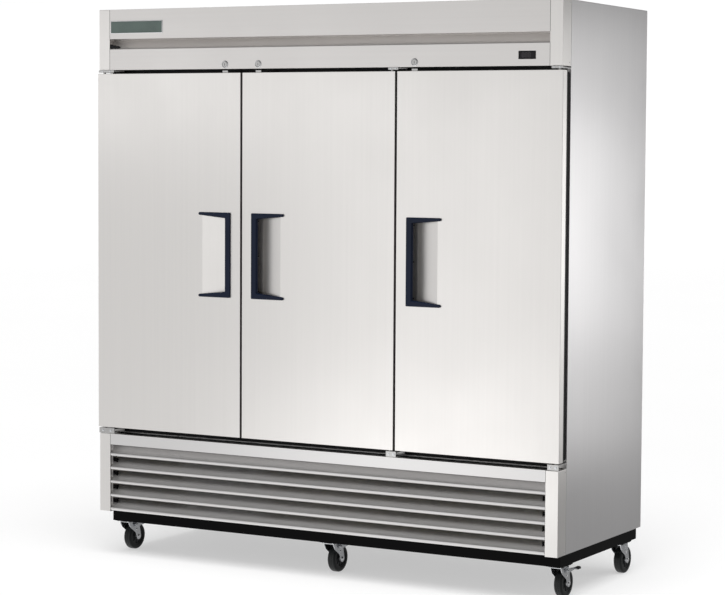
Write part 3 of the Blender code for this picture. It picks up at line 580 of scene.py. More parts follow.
def build_header():
    """The blank badge and the display, then the header's small parts."""
    low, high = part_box("name_plate")
    bm = bmesh.new()
    section = [(0.0, high.y), (0.0, low.y + 0.0004), (0.0006, low.y), (0.0022, low.y), (0.0028, low.y + 0.0008),
               (0.0028, high.y)]
    picture_frame(bm, section, low, high)
    piece("badge_bezel", bm, BEZEL_CHROME, stands_for=("name_plate",))
    bm = bmesh.new()
    face = low.y + 0.0007
    plate = [(0.0030, high.y), (0.0030, face), (0.0060, face), (0.0064, face + 0.0003), (0.0068, face + 0.0003),
             (0.0072, face)]
    picture_frame(bm, plate, low, high, filled=True)
    bm.faces.new([v for v in bm.verts if abs(v.co.y - high.y) < 1e-6])
    piece("badge_plate", bm, BADGE, 0.0001)

    low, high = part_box("temperature_display")
    front = low.y
    seat = low.y + 0.0015
    bm = bmesh.new()
    section = [(0.0, seat), (0.0, front + 0.0006), (0.0007, front), (0.0030, front), (0.0036, front + 0.0009),
               (0.0036, seat)]
    picture_frame(bm, section, low, high)
    piece("display_bezel", bm, BLACK_MOULDED, stands_for=("temperature_display",))
    bm = bmesh.new()
    block(bm, (low.x + 0.0037, front + 0.0008, low.z + 0.0037), (high.x - 0.0037, front + 0.024, high.z - 0.0037))
    for share in (0.28, 0.72):
        key = (high.x - 0.0100, front + 0.0009, low.z + (high.z - low.z) * share)
        revolve(bm, [(0.0, 0.0), (0.0024, 0.0), (0.0024, 0.0005), (0.0018, 0.0007), (0.0, 0.0006)],
                aimed(key, -Y_AXIS), segments=20)
    piece("display_window", bm, GLASS, 0.0002)
    build_digits(low, high, front + 0.0008)
    build_lock_rings()
    build_groove_stop()
    build_header_screws()
    build_seams()
    build_sill()
    build_hinge_screws()


def build_digits(low, high, face):
    """Unlit seven-segment figures behind the display's window."""
    bm = bmesh.new()
    height = (high.z - low.z) * 0.52
    width = height * 0.52
    bar = height * 0.10
    base = (low.z + high.z) / 2 - height / 2
    for k in range(3):
        left = low.x + 0.014 + k * width * 1.55
        strips = [((0, 0), (1, 0)), ((0, 0.5), (1, 0.5)), ((0, 1), (1, 1)), ((0, 0), (0, 0.5)), ((1, 0), (1, 0.5)),
                  ((0, 0.5), (0, 1)), ((1, 0.5), (1, 1))]
        for (ax, az), (bx, bz) in strips:
            x0, x1 = left + ax * width, left + bx * width
            z0, z1 = base + az * height, base + bz * height
            trim = bar * 0.75
            if ax == bx:
                x0, x1, z0, z1 = x0 - bar / 2, x1 + bar / 2, z0 + trim, z1 - trim
            else:
                x0, x1, z0, z1 = x0 + trim, x1 - trim, z0 - bar / 2, z1 + bar / 2
            block(bm, (x0, face - 0.00015, z0), (x1, face + 0.0002, z1))
    piece("display_figures", bm, SEGMENTS)


def build_lock_rings():
    """A bright collar round each key cylinder."""
    for side in SIDES:
        low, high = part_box("lock_" + side)
        x, _, z = PIVOTS["lock_%s_turn" % side]
        radius = (high.x - low.x) / 2
        collar = [(radius + 0.0009, -0.0002), (radius + 0.0009, 0.0016), (radius + 0.0018, 0.0024),
                  (radius + 0.0032, 0.0022), (radius + 0.0044, 0.0010), (radius + 0.0046, -0.0002)]
        bm = bmesh.new()
        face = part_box("header_panel")[0].y
        revolve(bm, collar, aimed((x, face, z), -Y_AXIS), segments=40, closed=True)
        piece("lock_collar_" + side, bm, CHROME)


def build_groove_stop():
    """The black moulded stop at the left end of the header's finger groove."""
    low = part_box("header_panel")[0]
    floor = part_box("name_plate")[0].z - GROOVE_BOTTOM_DROP + 0.0025
    bm = bmesh.new()
    outline = [(0.0, 0.0), (0.040, 0.0), (0.046, 0.005), (0.040, 0.010), (0.016, 0.013), (0.0, 0.017)]
    prism(bm, outline, face_on(low.x + 0.001, low.y + 0.0085, floor), 0.013)
    piece("groove_stop", bm, BLACK_MOULDED, 0.0015)


def build_header_screws():
    """Two small screws on each corner post's outer side, and on the grille posts."""
    for prefix in ("header_post_", "grille_post_"):
        bm = bmesh.new()
        for side, sign in (("left", -1), ("right", 1)):
            low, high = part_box(prefix + side)
            x = high.x if sign > 0 else low.x
            for z in (low.z + 0.012, high.z - 0.012):
                screw_head(bm, (x - sign * 0.0004, high.y - 0.010, z), sign * X_AXIS, 0.0020)
        piece(prefix + "screws", bm, ZINC)


def build_sill():
    """The bright edge of the floor sheet, in the gap under the doors."""
    low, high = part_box("grille_panel")
    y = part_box("face_frame")[0].y
    level = high.z + 0.0035
    bm = bmesh.new()
    block(bm, (low.x + 0.020, y - 0.0045, level), (high.x - 0.020, y - 0.0002, level + 0.0016))
    block(bm, (low.x + 0.020, y - 0.0045, level - 0.004), (high.x - 0.020, y - 0.0036, level + 0.0016))
    piece("sill_edge", bm, SHADE_DARKENED_ZINC, 0.0002)


def build_seams():
    """Dark sealant in the joints between the corner posts and the header and grille."""
    bm = bmesh.new()
    for panel in ("header_panel", "grille_panel"):
        low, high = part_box(panel)
        for x in (low.x - 0.00015, high.x + 0.00015):
            for z0, z1 in sealed_lengths(panel, low, high):
                block(bm, (x - 0.0007, low.y - 0.00015, z0), (x + 0.0007, low.y + 0.0012, z1))
    piece("joint_sealant", bm, RUBBER, 0.0001)


def sealed_lengths(panel, low, high):
    """Where a panel's end meets its post in one plane: all but the header's groove and the louvres."""
    if panel == "grille_panel":
        return [(high.z - 0.041, high.z - 0.001)]
    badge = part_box("name_plate")[0].z
    return [(low.z + 0.001, badge - GROOVE_BOTTOM_DROP), (badge - GROOVE_TOP_DROP, high.z - 0.001)]


def build_hinge_screws():
    """Two bolts through the front of each hinge bracket."""
    bm = bmesh.new()
    for side in SIDES:
        for where in ("bottom", "top"):
            low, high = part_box("hinge_%s_%s" % (where, side))
            if where == "bottom":
                z, radius = (low.z + min(high.z, low.z + 0.020)) / 2, 0.0036
            else:
                z, radius = (max(low.z, high.z - 0.009) + high.z) / 2, 0.0026
            for share in (0.25, 0.75):
                x = low.x + (high.x - low.x) * share
                hex_bolt(bm, (x, low.y + 0.0001, z), -Y_AXIS, radius, 0.0020)
    piece("hinge_bolts", bm, ZINC)


def build_grille_clips():
    """Spring clips that hold the ends of the louvres."""
    low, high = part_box("grille_panel")
    bm = bmesh.new()
    for k in range(4):
        z = LOUVRE_FIRST + LOUVRE_PITCH * k + 0.020
        for end, sign in ((low.x, 1), (high.x, -1)):
            tongue = sorted((end + sign * 0.0030, end + sign * 0.0170))
            stop = sorted((end + sign * 0.0170, end + sign * 0.0190))
            block(bm, (tongue[0], low.y + 0.018, z + 0.004), (tongue[1], low.y + 0.0195, z + 0.018))
            block(bm, (stop[0], low.y + 0.018, z + 0.0002), (stop[1], low.y + 0.028, z + 0.018))
    piece("louvre_clips", bm, BLACK_COAT, 0.0003)


# ---- back and roof ------------------------------------------------------------------------
LEAD_HOLE = (-0.82, 0.255)        # middle of the supply lead's hole in the rear sheet, in X and Z


def build_back():
    """Screws round the rear sheet and the roof, and the rubber bush in the lead's hole."""
    low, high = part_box("back_panel")
    face = high.y
    settle("back_panel", "Y")
    settle("top_panel", "Z")
    edges = (low.x + 0.015, high.x - 0.015)
    rims = (low.z + 0.012, high.z - 0.012)
    spots = [(x, z) for x in evenly(*edges, 11) for z in rims]
    spots += [(x, z) for z in evenly(*rims, 9)[1:-1] for x in edges]
    bm = bmesh.new()
    for x, z in spots:
        flat_screw(bm, (x, face - HEAD_HEIGHT, z), Y_AXIS, 0.0042)
    piece("back_panel_screws", bm, ZINC)

    bm = bmesh.new()
    bush = [(0.0085, -0.006), (0.0085, 0.0), (0.0105, 0.0), (0.0125, -0.0008), (0.0125, -0.0025), (0.0165, -0.0025),
            (0.0165, -0.0050), (0.0125, -0.0060)]
    revolve(bm, bush, aimed((LEAD_HOLE[0], face - 0.0060, LEAD_HOLE[1]), -Y_AXIS), segments=32, closed=True)
    piece("lead_bush", bm, RUBBER)

    low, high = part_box("top_panel")
    bm = bmesh.new()
    for x in evenly(low.x + 0.030, high.x - 0.030, 9):
        flat_screw(bm, (x, high.y - 0.012, high.z - HEAD_HEIGHT), Z_AXIS, 0.0038)
    piece("roof_screws", bm, ZINC)


# ---- casters ------------------------------------------------------------------------------
FORK_HALF = 0.022                 # outer side of a fork's leg, from the wheel's middle plane
FORK_SHEET = 0.003
PLATE_DROP = 0.0040               # underside of the caster's plate, above the top of its fork
PLATE_BOLTS = [(x, y) for x in (-0.024, 0.024) for y in (-0.038, 0.038)]


def fork_bmesh(top, trail, axle):
    """Yoke of bent sheet: crown plate with a raised bearing race, and two legs that trail to the rear."""
    bm = bmesh.new()
    block(bm, (-FORK_HALF, -0.030, top - FORK_SHEET), (FORK_HALF, 0.034, top))
    race = [(0.0076, top - 0.0005), (0.0076, top + 0.0010), (0.021, top + 0.0010), (0.0235, top - 0.0005)]
    revolve(bm, race, Matrix.Identity(4), segments=32, closed=True)
    tail = arc((trail, axle), 0.0135, 8, -172, 10)
    outline = [(0.034, top - 0.0004), (0.034, top - 0.0075), (0.0380, top - 0.0170)] + tail
    outline += [(trail - 0.0215, axle + 0.018), (-0.0190, top - 0.0240), (-0.0290, top - 0.0090),
                (-0.030, top - 0.0004)]
    for x in (FORK_HALF - FORK_SHEET / 2, -FORK_HALF + FORK_SHEET / 2):
        prism(bm, outline, side_on(x), FORK_SHEET)
    return bm


def fork_hardware_bmesh(top, trail, axle):
    """Axle bolt with its nut, and the rivets along each leg."""
    bm = bmesh.new()
    rod(bm, (-FORK_HALF - 0.001, trail, axle), (FORK_HALF + 0.001, trail, axle), 0.0045, 16)
    for sign in (-1, 1):
        hex_bolt(bm, (sign * FORK_HALF, trail, axle), sign * X_AXIS, 0.0062, 0.0040)
        for y, z, radius in ((0.012, top - 0.0150, 0.0036), (0.020, axle + 0.0290, 0.0042)):
            revolve(bm, [(0.0, 0.0), (radius, 0.0), (radius, 0.0008), (radius * 0.7, 0.0019), (0.0, 0.0022)],
                    aimed((sign * FORK_HALF, y, z), sign * X_AXIS), segments=20)
    return bm


def tyre_bmesh(radius, half):
    """Moulded tyre with round shoulders and two shallow tread grooves."""
    shoulder = 0.0085
    outer = arc((radius - shoulder, half - shoulder), shoulder, 90, 8, 8)
    tread = [(radius, 0.0052), (radius - 0.0009, 0.0046), (radius - 0.0009, 0.0036), (radius, 0.0030)]
    upper = [(0.0335, half - 0.0035), (0.0345, half - 0.0006), (0.0375, half)] + outer + tread
    profile = upper + [(r, -z) for r, z in reversed(upper)]
    bm = bmesh.new()
    revolve(bm, profile, Matrix.Identity(4), segments=64, closed=True)
    return bm


def hub_bmesh(half):
    """Wheel centre: bored boss, dished web with ribs, and the rim inside the tyre."""
    upper = [(0.0050, half + 0.0015), (0.0105, half + 0.0015), (0.0125, half - 0.0010), (0.0135, half - 0.0070),
             (0.0290, half - 0.0070), (0.0300, half - 0.0035), (0.0336, half - 0.0030)]
    profile = upper + [(r, -z) for r, z in reversed(upper)]
    bm = bmesh.new()
    revolve(bm, profile, Matrix.Identity(4), segments=48, closed=True)
    for k in range(8):
        turn = Matrix.Rotation(2 * pi * k / 8, 4, "Z")
        for sign in (-1, 1):
            place = turn @ Matrix.Translation((0.0212, 0, sign * (half - 0.0060)))
            bmesh.ops.create_cube(bm, size=1.0, matrix=place @ Matrix.Diagonal((0.0175, 0.0022, 0.0040, 1.0)))
    return bm


def cap_bmesh(half):
    """Pressed bearing shields on both sides of the boss."""
    bm = bmesh.new()
    for sign in (-1, 1):
        profile = [(0.0052, 0.0004), (0.0052, 0.0018), (0.0085, 0.0026), (0.0112, 0.0018), (0.0116, 0.0004)]
        place = aimed((0, 0, sign * half), sign * Z_AXIS)
        revolve(bm, profile, place, segments=32, closed=True)
    return bm


def brake_bmeshes(low, high, pivot):
    """The brake's bent arm beside the fork, and its ribbed toe pad, in places relative to the caster."""
    arm = bmesh.new()
    pad = bmesh.new()
    inner = low.x
    pad_front = low.y + (high.y - low.y) * 0.70
    outline = arc((pivot.y, pivot.z), 0.0088, 90, 270, 8)
    outline += [(pad_front - 0.014, low.z + 0.0008), (high.y - 0.0050, high.z - 0.0080),
                (high.y - 0.0040, high.z - 0.0040), (pad_front - 0.010, high.z - 0.0012)]
    prism(arm, outline, side_on(inner + FORK_SHEET / 2), FORK_SHEET)
    hex_bolt(arm, (inner + FORK_SHEET, pivot.y, pivot.z), X_AXIS, 0.0042, 0.0026)
    block(arm, (inner + 0.001, pad_front, high.z - 0.0066), (high.x - 0.004, high.y - 0.004, high.z - 0.0042))
    block(pad, (inner + 0.0033, pad_front + 0.0005, high.z - 0.0088), (high.x, high.y, high.z - 0.0018))
    for k in range(4):
        y = pad_front + 0.0035 + k * 0.0055
        block(pad, (inner + 0.0055, y, high.z - 0.0022), (high.x - 0.0022, y + 0.0024, high.z))
    return arm, pad


def build_casters():
    """Six casters that share their meshes, with brakes on the front ones."""
    meshes = {}
    for caster in CASTERS:
        body, wheel_body = "caster_" + caster, "wheel_" + caster
        swivel = PIVOTS["caster_%s_swivel" % caster]
        axle = PIVOTS["wheel_%s_roll" % caster]
        upright = Matrix.Translation((swivel.x, swivel.y, 0.0))
        lying = Matrix.Translation(axle) @ Matrix.Rotation(pi / 2, 4, "Y")
        if not meshes:
            low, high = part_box("caster_wheel_" + caster)
            half, radius = (high.x - low.x) / 2, (high.z - low.z) / 2
            fork = (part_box("caster_fork_" + caster)[1].z, axle.y - swivel.y, axle.z)
            shapes = {"yoke": fork_bmesh(*fork), "fork_hardware": fork_hardware_bmesh(*fork),
                      "tyre": tyre_bmesh(radius, half), "hub": hub_bmesh(half), "shields": cap_bmesh(half)}
            meshes = {key: mesh_from(key, shape) for key, shape in shapes.items()}
        placed("caster_yoke_" + caster, meshes["yoke"], ZINC, 0.0008, body, upright, ("caster_fork_" + caster,))
        placed("caster_bolts_" + caster, meshes["fork_hardware"], CHROME, 0.0, body, upright)
        placed("caster_tyre_" + caster, meshes["tyre"], TYRE, 0.0, wheel_body, lying, ("caster_wheel_" + caster,))
        placed("caster_hub_" + caster, meshes["hub"], HUB, 0.0004, wheel_body, lying)
        placed("caster_shields_" + caster, meshes["shields"], ZINC, 0.0, wheel_body, lying)
        if caster.startswith("front"):
            side = caster.split("_")[1]
            node = "brake_pedal_" + side
            corners = (*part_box(node), PIVOTS["brake_%s_press" % side])
            arm, pad = brake_bmeshes(*(corner - Vector((swivel.x, swivel.y, 0)) for corner in corners))
            piece("brake_arm_" + side, arm, ZINC, 0.0005, "brake_" + side, upright, (node,))
            piece("brake_toe_pad_" + side, pad, BLACK_MOULDED, 0.0007, "brake_" + side, upright)
    build_caster_mounts()


def build_caster_mounts():
    """Four hexagonal bolts through each caster plate, and the dust ring over each swivel race."""
    bolts = bmesh.new()
    rings = bmesh.new()
    for caster in CASTERS:
        x, y, _ = PIVOTS["caster_%s_swivel" % caster]
        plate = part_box("caster_fork_" + caster)[1].z + PLATE_DROP
        for dx, dy in PLATE_BOLTS:
            hex_bolt(bolts, (x + dx, y + dy, plate + 0.0002), -Z_AXIS, 0.0042, 0.0034)
        ring = [(0.0262, 0.0), (0.0262, 0.0030), (0.0272, 0.0034), (0.0284, 0.0022), (0.0286, 0.0)]
        revolve(rings, ring, aimed((x, y, plate + 0.0001), -Z_AXIS), segments=36, closed=True)
    piece("caster_plate_bolts", bolts, ZINC)
    piece("caster_dust_rings", rings, ZINC)


# ---- shelves ------------------------------------------------------------------------------
WIRE = 0.0016                     # radii of a shelf's cross wires and border rods
BORDER = 0.0030
UPRIGHT_INSET = (0.014, 0.0085)   # from the shelf stack's corners, in X and Y


def shelf_bmesh(width, depth):
    """Coated wire shelf about the middle of its own top: border rods, cross wires and three bearers."""
    bm = bmesh.new()
    half, front, back = width / 2, -depth / 2, depth / 2
    for y in (front + BORDER, back - BORDER):
        rod(bm, (-half, y, -BORDER), (half, y, -BORDER), BORDER)
    for x in (-half + BORDER, half - BORDER):
        rod(bm, (x, front + BORDER, -BORDER), (x, back - BORDER, -BORDER), BORDER)
    rod(bm, (-half + BORDER, front + BORDER, -0.022), (half - BORDER, front + BORDER, -0.022), BORDER * 0.8)
    for x in (BORDER - half, half - BORDER):
        rod(bm, (x, front + BORDER, -0.022), (x, front + BORDER, 0.0), BORDER * 0.8)
    for x in evenly(-half, half, 27)[1:-1]:
        rod(bm, (x, front + BORDER, -WIRE), (x, back - BORDER, -WIRE), WIRE, 6)
    for share in (0.2, 0.5, 0.8):
        y = front + depth * share
        rod(bm, (-half + BORDER, y, -2 * WIRE - 0.0018), (half - BORDER, y, -2 * WIRE - 0.0018), 0.0022, 8)
    return bm


def standard_bmesh(height, width, depth):
    """Slotted upright: a channel of thin sheet with a slot every 25 mm, facing local +Y."""
    bm = bmesh.new()
    pitch, slot, slot_half = 0.025, 0.012, width * 0.20
    half = width / 2
    levels = [0.0]
    while levels[-1] + pitch < height:
        levels += [levels[-1] + pitch - slot, levels[-1] + pitch]
    levels.append(height)
    columns = (-half, -slot_half, slot_half, half)
    grid = [[bm.verts.new((x, 0.0, z)) for x in columns] for z in levels]
    for row, (lower, upper) in enumerate(zip(grid, grid[1:])):
        for column in range(3):
            if column == 1 and row % 2 == 1 and row < len(levels) - 2:
                continue
            bm.faces.new((lower[column], lower[column + 1], upper[column + 1], upper[column]))
    for end in (0, 3):
        flange = [bm.verts.new((row[end].co.x, -depth, row[end].co.z)) for row in grid]
        for k in range(len(grid) - 1):
            bm.faces.new((grid[k][end], grid[k + 1][end], flange[k + 1], flange[k]))
    return bm


def build_shelves():
    """Three wire shelves a bay, on clips in four slotted uprights."""
    spaces = {opening["name"]: opening["box_m"] for opening in frame["record"]["physics"]["openings"]}
    shelf = upright = None
    for side in SIDES:
        stack = "shelf_stack_" + side
        low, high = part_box(stack)
        levels = []
        for under, over in (("low", "lower"), ("lower", "upper"), ("upper", "top")):
            space_top = spaces["%s_bay_%s_space" % (side, under)][1][2]
            levels.append((space_top + spaces["%s_bay_%s_space" % (side, over)][0][2]) / 2)
        if shelf is None:
            shelf = mesh_from("wire_shelf", shelf_bmesh(high.x - low.x - 0.006, high.y - low.y - 0.024))
            upright = mesh_from("shelf_upright", standard_bmesh(high.z - low.z, 0.019, 0.0075))
        for number, level in enumerate(levels, 1):
            place = Matrix.Translation(((low.x + high.x) / 2, (low.y + high.y) / 2, level + 0.004))
            placed("wire_shelf_%s_%d" % (side, number), shelf, WIRE_COAT, place=place,
                   stands_for=(stack,) if number == 1 else ())
        columns = (low.x + UPRIGHT_INSET[0], high.x - UPRIGHT_INSET[0])
        rows = ((low.y + UPRIGHT_INSET[1], 0), (high.y - UPRIGHT_INSET[1], pi))
        for number, (x, (y, turn)) in enumerate(((x, row) for row in rows for x in columns), 1):
            place = Matrix.Translation((x, y, low.z)) @ Matrix.Rotation(turn, 4, "Z")
            placed("shelf_upright_%s_%d" % (side, number), upright, ALUMINIUM, place=place, thickness=0.0010)
        clips = bmesh.new()
        for z in (level - 0.004 for level in levels):
            for x in columns:
                for near, far in ((low.y + 0.0095, low.y + 0.0215), (high.y - 0.0215, high.y - 0.0095)):
                    block(clips, (x - 0.003, near, z - 0.0125), (x + 0.003, far, z - 0.0022))
                    block(clips, (x - 0.0075, near, z - 0.0045), (x + 0.0075, far, z - 0.0022))
        piece("shelf_clips_" + side, clips, ZINC, 0.0006)


# ---- fans, refrigeration and lamps --------------------------------------------------------
def fan_bmesh(radius, hub, depth, blades=5):
    """Domed hub and swept, twisted blades round local Z."""
    bm = bmesh.new()
    revolve(bm, [(0.0, -depth / 2), (hub, -depth / 2), (hub, depth * 0.30), (hub * 0.86, depth * 0.46),
                 (hub * 0.5, depth / 2), (0.0, depth / 2)], Matrix.Identity(4), segments=36)
    steps = 8
    for number in range(blades):
        base = 2 * pi * number / blades
        grid = []
        for i in range(steps + 1):
            share = i / steps
            r = hub * 0.90 + (radius - hub * 0.90) * share
            sweep = 0.34 * share * share
            chord = 0.62 - 0.10 * share
            pitch = 0.011 * (1 - 0.35 * share)
            row = []
            for j in range(5):
                across = j / 4 - 0.5
                angle = base + sweep + across * chord
                camber = 0.0025 * (1 - 4 * across * across)
                row.append(bm.verts.new((r * cos(angle), r * sin(angle), -2 * pitch * across + camber)))
            grid.append(row)
        for lower, upper in zip(grid, grid[1:]):
            for j in range(4):
                bm.faces.new((lower[j], lower[j + 1], upper[j + 1], upper[j]))
        rim = [row[0] for row in grid] + grid[-1][1:] + [row[-1] for row in grid[:-1]][::-1] + grid[0][1:-1][::-1]
        thick = 0.0016
        below = {v: bm.verts.new(v.co - Vector((0, 0, thick))) for row in grid for v in row}
        for lower, upper in zip(grid, grid[1:]):
            for j in range(4):
                bm.faces.new([below[v] for v in (lower[j], upper[j], upper[j + 1], lower[j + 1])])
        for k, vert in enumerate(rim):
            after = rim[(k + 1) % len(rim)]
            bm.faces.new((vert, after, below[after], below[vert]))
    return bm


def build_fans():
    for name, axis in (("condenser_fan", Y_AXIS), ("evaporator_fan", Z_AXIS)):
        low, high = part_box(name)
        radius = max(high - low) / 2 * 0.985
        piece(name + "_rotor", fan_bmesh(radius, 0.027, 0.022), BLACK_MOULDED, 0.0, name,
              aimed((low + high) / 2, axis), (name,))


def build_guard():
    """Wire guard under the evaporator's fan: rings on six spokes."""
    x, y, _ = PIVOTS["evaporator_fan_spin"]
    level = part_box("evaporator_housing")[0].z - 0.0035
    bm = bmesh.new()
    wire = 0.0012
    for radius in (0.022, 0.040, 0.058, 0.076, 0.094, 0.108):
        section = [(radius + wire * cos(2 * pi * k / 8), wire * sin(2 * pi * k / 8)) for k in range(8)]
        revolve(bm, section, Matrix.Translation((x, y, level)), segments=48, closed=True)
    for k in range(6):
        angle = pi * k / 3
        inner, outer = ((x + r * cos(angle), y + r * sin(angle), level + wire) for r in (0.020, 0.112))
        rod(bm, inner, outer, wire, 8)
    piece("evaporator_fan_guard", bm, CHROME)


def build_refrigeration():
    """Tube bends at the condenser's ends, the compressor's terminal cover, and the copper lines."""
    coil_low, coil_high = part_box("condenser_coil")
    bends = bmesh.new()
    levels = evenly(coil_low.z + 0.040, coil_high.z - 0.024, 6)
    for end, sign in ((coil_low.x, -1), (coil_high.x, 1)):
        first = 1 if sign > 0 else 0
        for z0, z1 in list(zip(levels, levels[1:]))[first::2]:
            path = arc((0.0, (z0 + z1) / 2), (z1 - z0) / 2, -90, 90, 8)
            points = [(end + sign * (0.001 + u), coil_low.y + 0.035, z) for u, z in path]
            for a, b in zip(points, points[1:]):
                rod(bends, a, b, 0.0040, 8)
    piece("condenser_tube_bends", bends, COPPER)

    low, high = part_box("compressor")
    x, y, top = (low.x + high.x) / 2, (low.y + high.y) / 2, high.z
    cover = low.z + 0.0925
    bm = bmesh.new()
    block(bm, (x - 0.034, low.y - 0.004, cover - 0.0325), (x + 0.034, low.y + 0.022, cover + 0.0325))
    for dz in (-0.0165, 0.0, 0.0165):
        block(bm, (x - 0.026, low.y - 0.0052, cover + dz - 0.0022), (x + 0.026, low.y - 0.0038, cover + dz + 0.0022))
    for dx in (-0.041, 0.041):
        block(bm, (x + dx - 0.009, low.y + 0.016, cover - 0.0085), (x + dx + 0.009, low.y + 0.021, cover + 0.0085))
        screw_head(bm, (x + dx * 1.06, low.y + 0.016, cover), -Y_AXIS, 0.0034)
    piece("compressor_terminal_cover", bm, BLACK_MOULDED, 0.0006)

    inlet = Vector((coil_high.x, coil_low.y, coil_high.z))
    pipe("discharge_line", [(x, y - 0.045, top - 0.004), (x, y - 0.045, top + 0.030),
                            (x - 0.10, y - 0.07, top + 0.040), (x - 0.32, y - 0.10, top + 0.020),
                            inlet + Vector((0.05, 0.060, -0.030)), inlet + Vector((0.004, 0.050, -0.024))],
         0.0042, COPPER)
    pipe("suction_line", [(x + 0.04, y, top - 0.004), (x + 0.04, y, top + 0.020),
                          (x + 0.10, y + 0.05, top + 0.040), (x + 0.22, y + 0.12, top + 0.030),
                          (x + 0.30, y + 0.16, top + 0.034)], 0.0052, COPPER)


def build_lamps():
    """A lamp under the ceiling of each bay, just behind the doorway."""
    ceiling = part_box("inner_liner")[1].z - 0.0014
    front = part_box("face_frame")[1].y + 0.040
    for side in SIDES:
        low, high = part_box("shelf_stack_" + side)
        centre = (low.x + high.x) / 2
        bm = bmesh.new()
        block(bm, (centre - 0.130, front, ceiling - 0.010), (centre + 0.130, front + 0.046, ceiling))
        for sign in (-1, 1):
            end = centre + sign * 0.1285
            block(bm, (end - 0.0045, front - 0.0015, ceiling - 0.0125), (end + 0.0045, front + 0.0475, ceiling))
            screw_head(bm, (end, front + 0.023, ceiling - 0.0125), -Z_AXIS, 0.0026)
        piece("lamp_housing_" + side, bm, BLACK_MOULDED, 0.0010)
        bm = bmesh.new()
        section = [(-0.0195, -0.009)] + [(0.0195 * cos(radians(a)), -0.009 - 0.013 * sin(radians(a)))
                                         for a in range(180, -1, -20)]
        prism(bm, section, side_on(centre, front + 0.023, ceiling), 0.240)
        piece("lamp_diffuser_" + side, bm, LAMP, 0.002)


# ---- stage --------------------------------------------------------------------------------
def build_camera():
    yaw, pitch, roll = (radians(angle) for angle in (CAMERA_YAW, CAMERA_PITCH, CAMERA_ROLL))
    back = Vector((sin(yaw) * cos(pitch), -cos(yaw) * cos(pitch), sin(pitch)))
    right = Vector((cos(yaw), sin(yaw), 0.0))
    up = back.cross(right)
    axes = Matrix((right, up, back)).transposed().to_4x4()
    data = bpy.data.cameras.new("camera")
    data.lens = CAMERA_LENS
    data.shift_x, data.shift_y = CAMERA_SHIFT
    data.clip_end = 200.0
    camera = new_object("camera", data)
    camera.matrix_world = Matrix.Translation(CAMERA_PLACE) @ axes @ Matrix.Rotation(roll, 4, "Z")
    bpy.context.scene.camera = camera


def direction(azimuth, elevation):
    """Unit vector; azimuth 0 points along -Y, 90 along +X."""
    a, e = radians(azimuth), radians(elevation)
    return Vector((sin(a) * cos(e), -cos(a) * cos(e), sin(e)))


# Studio surroundings as broad soft patches: azimuth, elevation, inner and outer radius, strength.
GLOWS = ((-62, -4, 50, 120, 0.45),)
HORIZON = 0.30
OVERHEAD = 0.20
FLOOR_GAIN = 1.4
SUN = 2.75
# Soft boxes: name, place, the point it faces, size, radiance.
SOFT_BOXES = (
    ("front_right_box", (-0.35, -2.2, 1.15), (0.67, -0.36, 1.2), (1.3, 1.7), 0.30),
    ("front_low_box", (-0.45, -2.2, 0.05), (0.67, -0.36, 0.5), (1.5, 0.70), 0.70),
    ("front_high_box", (-1.90, -2.2, 1.92), (-0.3, -0.36, 1.8), (1.7, 0.55), 0.40),
    ("side_tall_box", (2.15, 1.12, 1.22), (0.992, 0.0, 1.2), (1.2, 1.90), 0.72),
    ("side_short_box", (2.20, 1.10, 1.25), (0.992, 0.0, 1.2), (1.0, 0.95), 0.85),
)


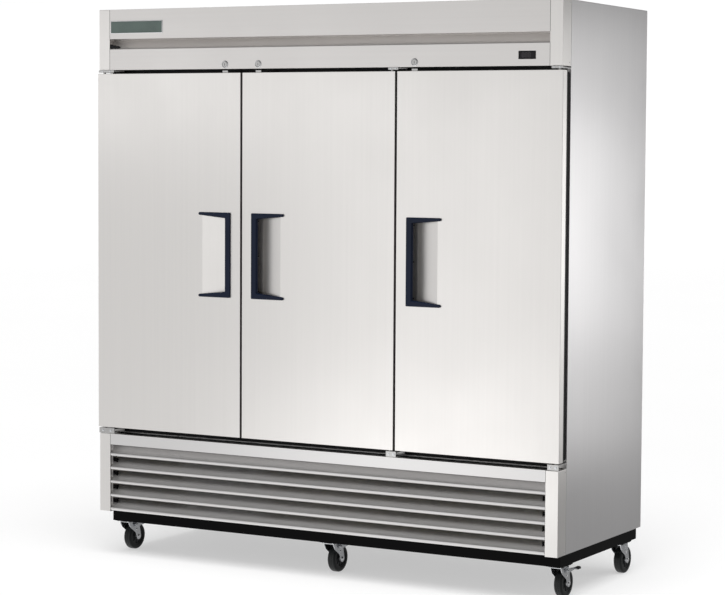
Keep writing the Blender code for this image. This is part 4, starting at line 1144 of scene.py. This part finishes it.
def build_surroundings():
    """A soft horizon with its glows, dimmer overhead and brighter from the floor."""
    world = bpy.data.worlds.new("studio")
    bpy.context.scene.world = world
    world.use_nodes = True
    tree = world.node_tree

    def ramp(value, start, end, low, high):
        return shader_node(tree, "MapRange", {"interpolation_type": "SMOOTHSTEP"}, Value=value, From_Min=start,
                           From_Max=end, To_Min=low, To_Max=high).outputs["Result"]

    ray = shader_node(tree, "TexCoord").outputs["Generated"]
    rise = shader_node(tree, "SeparateXYZ", Vector=ray).outputs["Z"]
    base = shader_node(tree, "Value").outputs["Value"]
    base.default_value = HORIZON
    level = base
    for azimuth, elevation, inner, outer, strength in GLOWS:
        dot = shader_node(tree, "VectorMath", {"operation": "DOT_PRODUCT"})
        tree.links.new(ray, dot.inputs[0])
        dot.inputs[1].default_value = direction(azimuth, elevation)
        patch = ramp(dot.outputs["Value"], cos(radians(outer)), cos(radians(inner)), 0.0, strength)
        level = total(tree, level, patch)
    for gain in (ramp(rise, 0.15, 0.75, 1.0, OVERHEAD), ramp(rise, -0.60, -0.20, FLOOR_GAIN, 1.0)):
        level = total(tree, level, gain, "MULTIPLY")
    tree.links.new(level, tree.nodes["Background"].inputs["Color"])


def soft_box(name, place, target, size, radiance):
    """A rectangular light that the object mirrors, but the camera doesn't see."""
    data = bpy.data.lights.new(name, "AREA")
    data.shape = "RECTANGLE"
    data.size, data.size_y = size
    data.energy = radiance * pi * size[0] * size[1]
    lamp = new_object(name, data)
    lamp.matrix_world = aimed(place, Vector(place) - Vector(target))
    lamp.visible_camera = False


def build_stage():
    """A pale floor that curves up into a round backdrop far away; only the camera sees it."""
    bm = bmesh.new()
    profile = [(0.0, 0.0), (20.0, 0.0)] + arc((20.0, 12.0), 12.0, -80, 0, 8) + [(32.0, 30.0)]
    revolve(bm, profile, Matrix.Identity(4), segments=64)
    mesh = bpy.data.meshes.new("floor")
    bm.to_mesh(mesh)
    bm.free()
    mesh.shade_smooth()
    paper = finish("studio_floor", (0.50, 0.50, 0.50), 0.9, Emission_Color=(1.0, 1.0, 1.0, 1.0),
                   Emission_Strength=0.50)
    tint(paper, noise(paper, 0.6), (0.50, 0.50, 0.50), 0.01)
    mesh.materials.append(paper)
    floor = new_object("floor", mesh)
    for rays in ("visible_glossy", "visible_diffuse", "visible_shadow"):
        setattr(floor, rays, False)
    build_surroundings()

    data = bpy.data.lights.new("overhead", "SUN")
    data.energy = SUN
    data.angle = radians(50)
    sun = new_object("overhead", data)
    sun.rotation_euler = (radians(18), radians(10), 0)
    sun.visible_glossy = False
    for details in SOFT_BOXES:
        soft_box(*details)


build_camera()
build_stage()
dress_cabinet()
for door_side in SIDES:
    build_door(door_side)
build_strikes()
build_header()
build_grille_clips()
build_back()
build_casters()
build_shelves()
build_fans()
build_guard()
build_refrigeration()
build_lamps()
bpy.context.scene.view_settings.view_transform = "Standard"
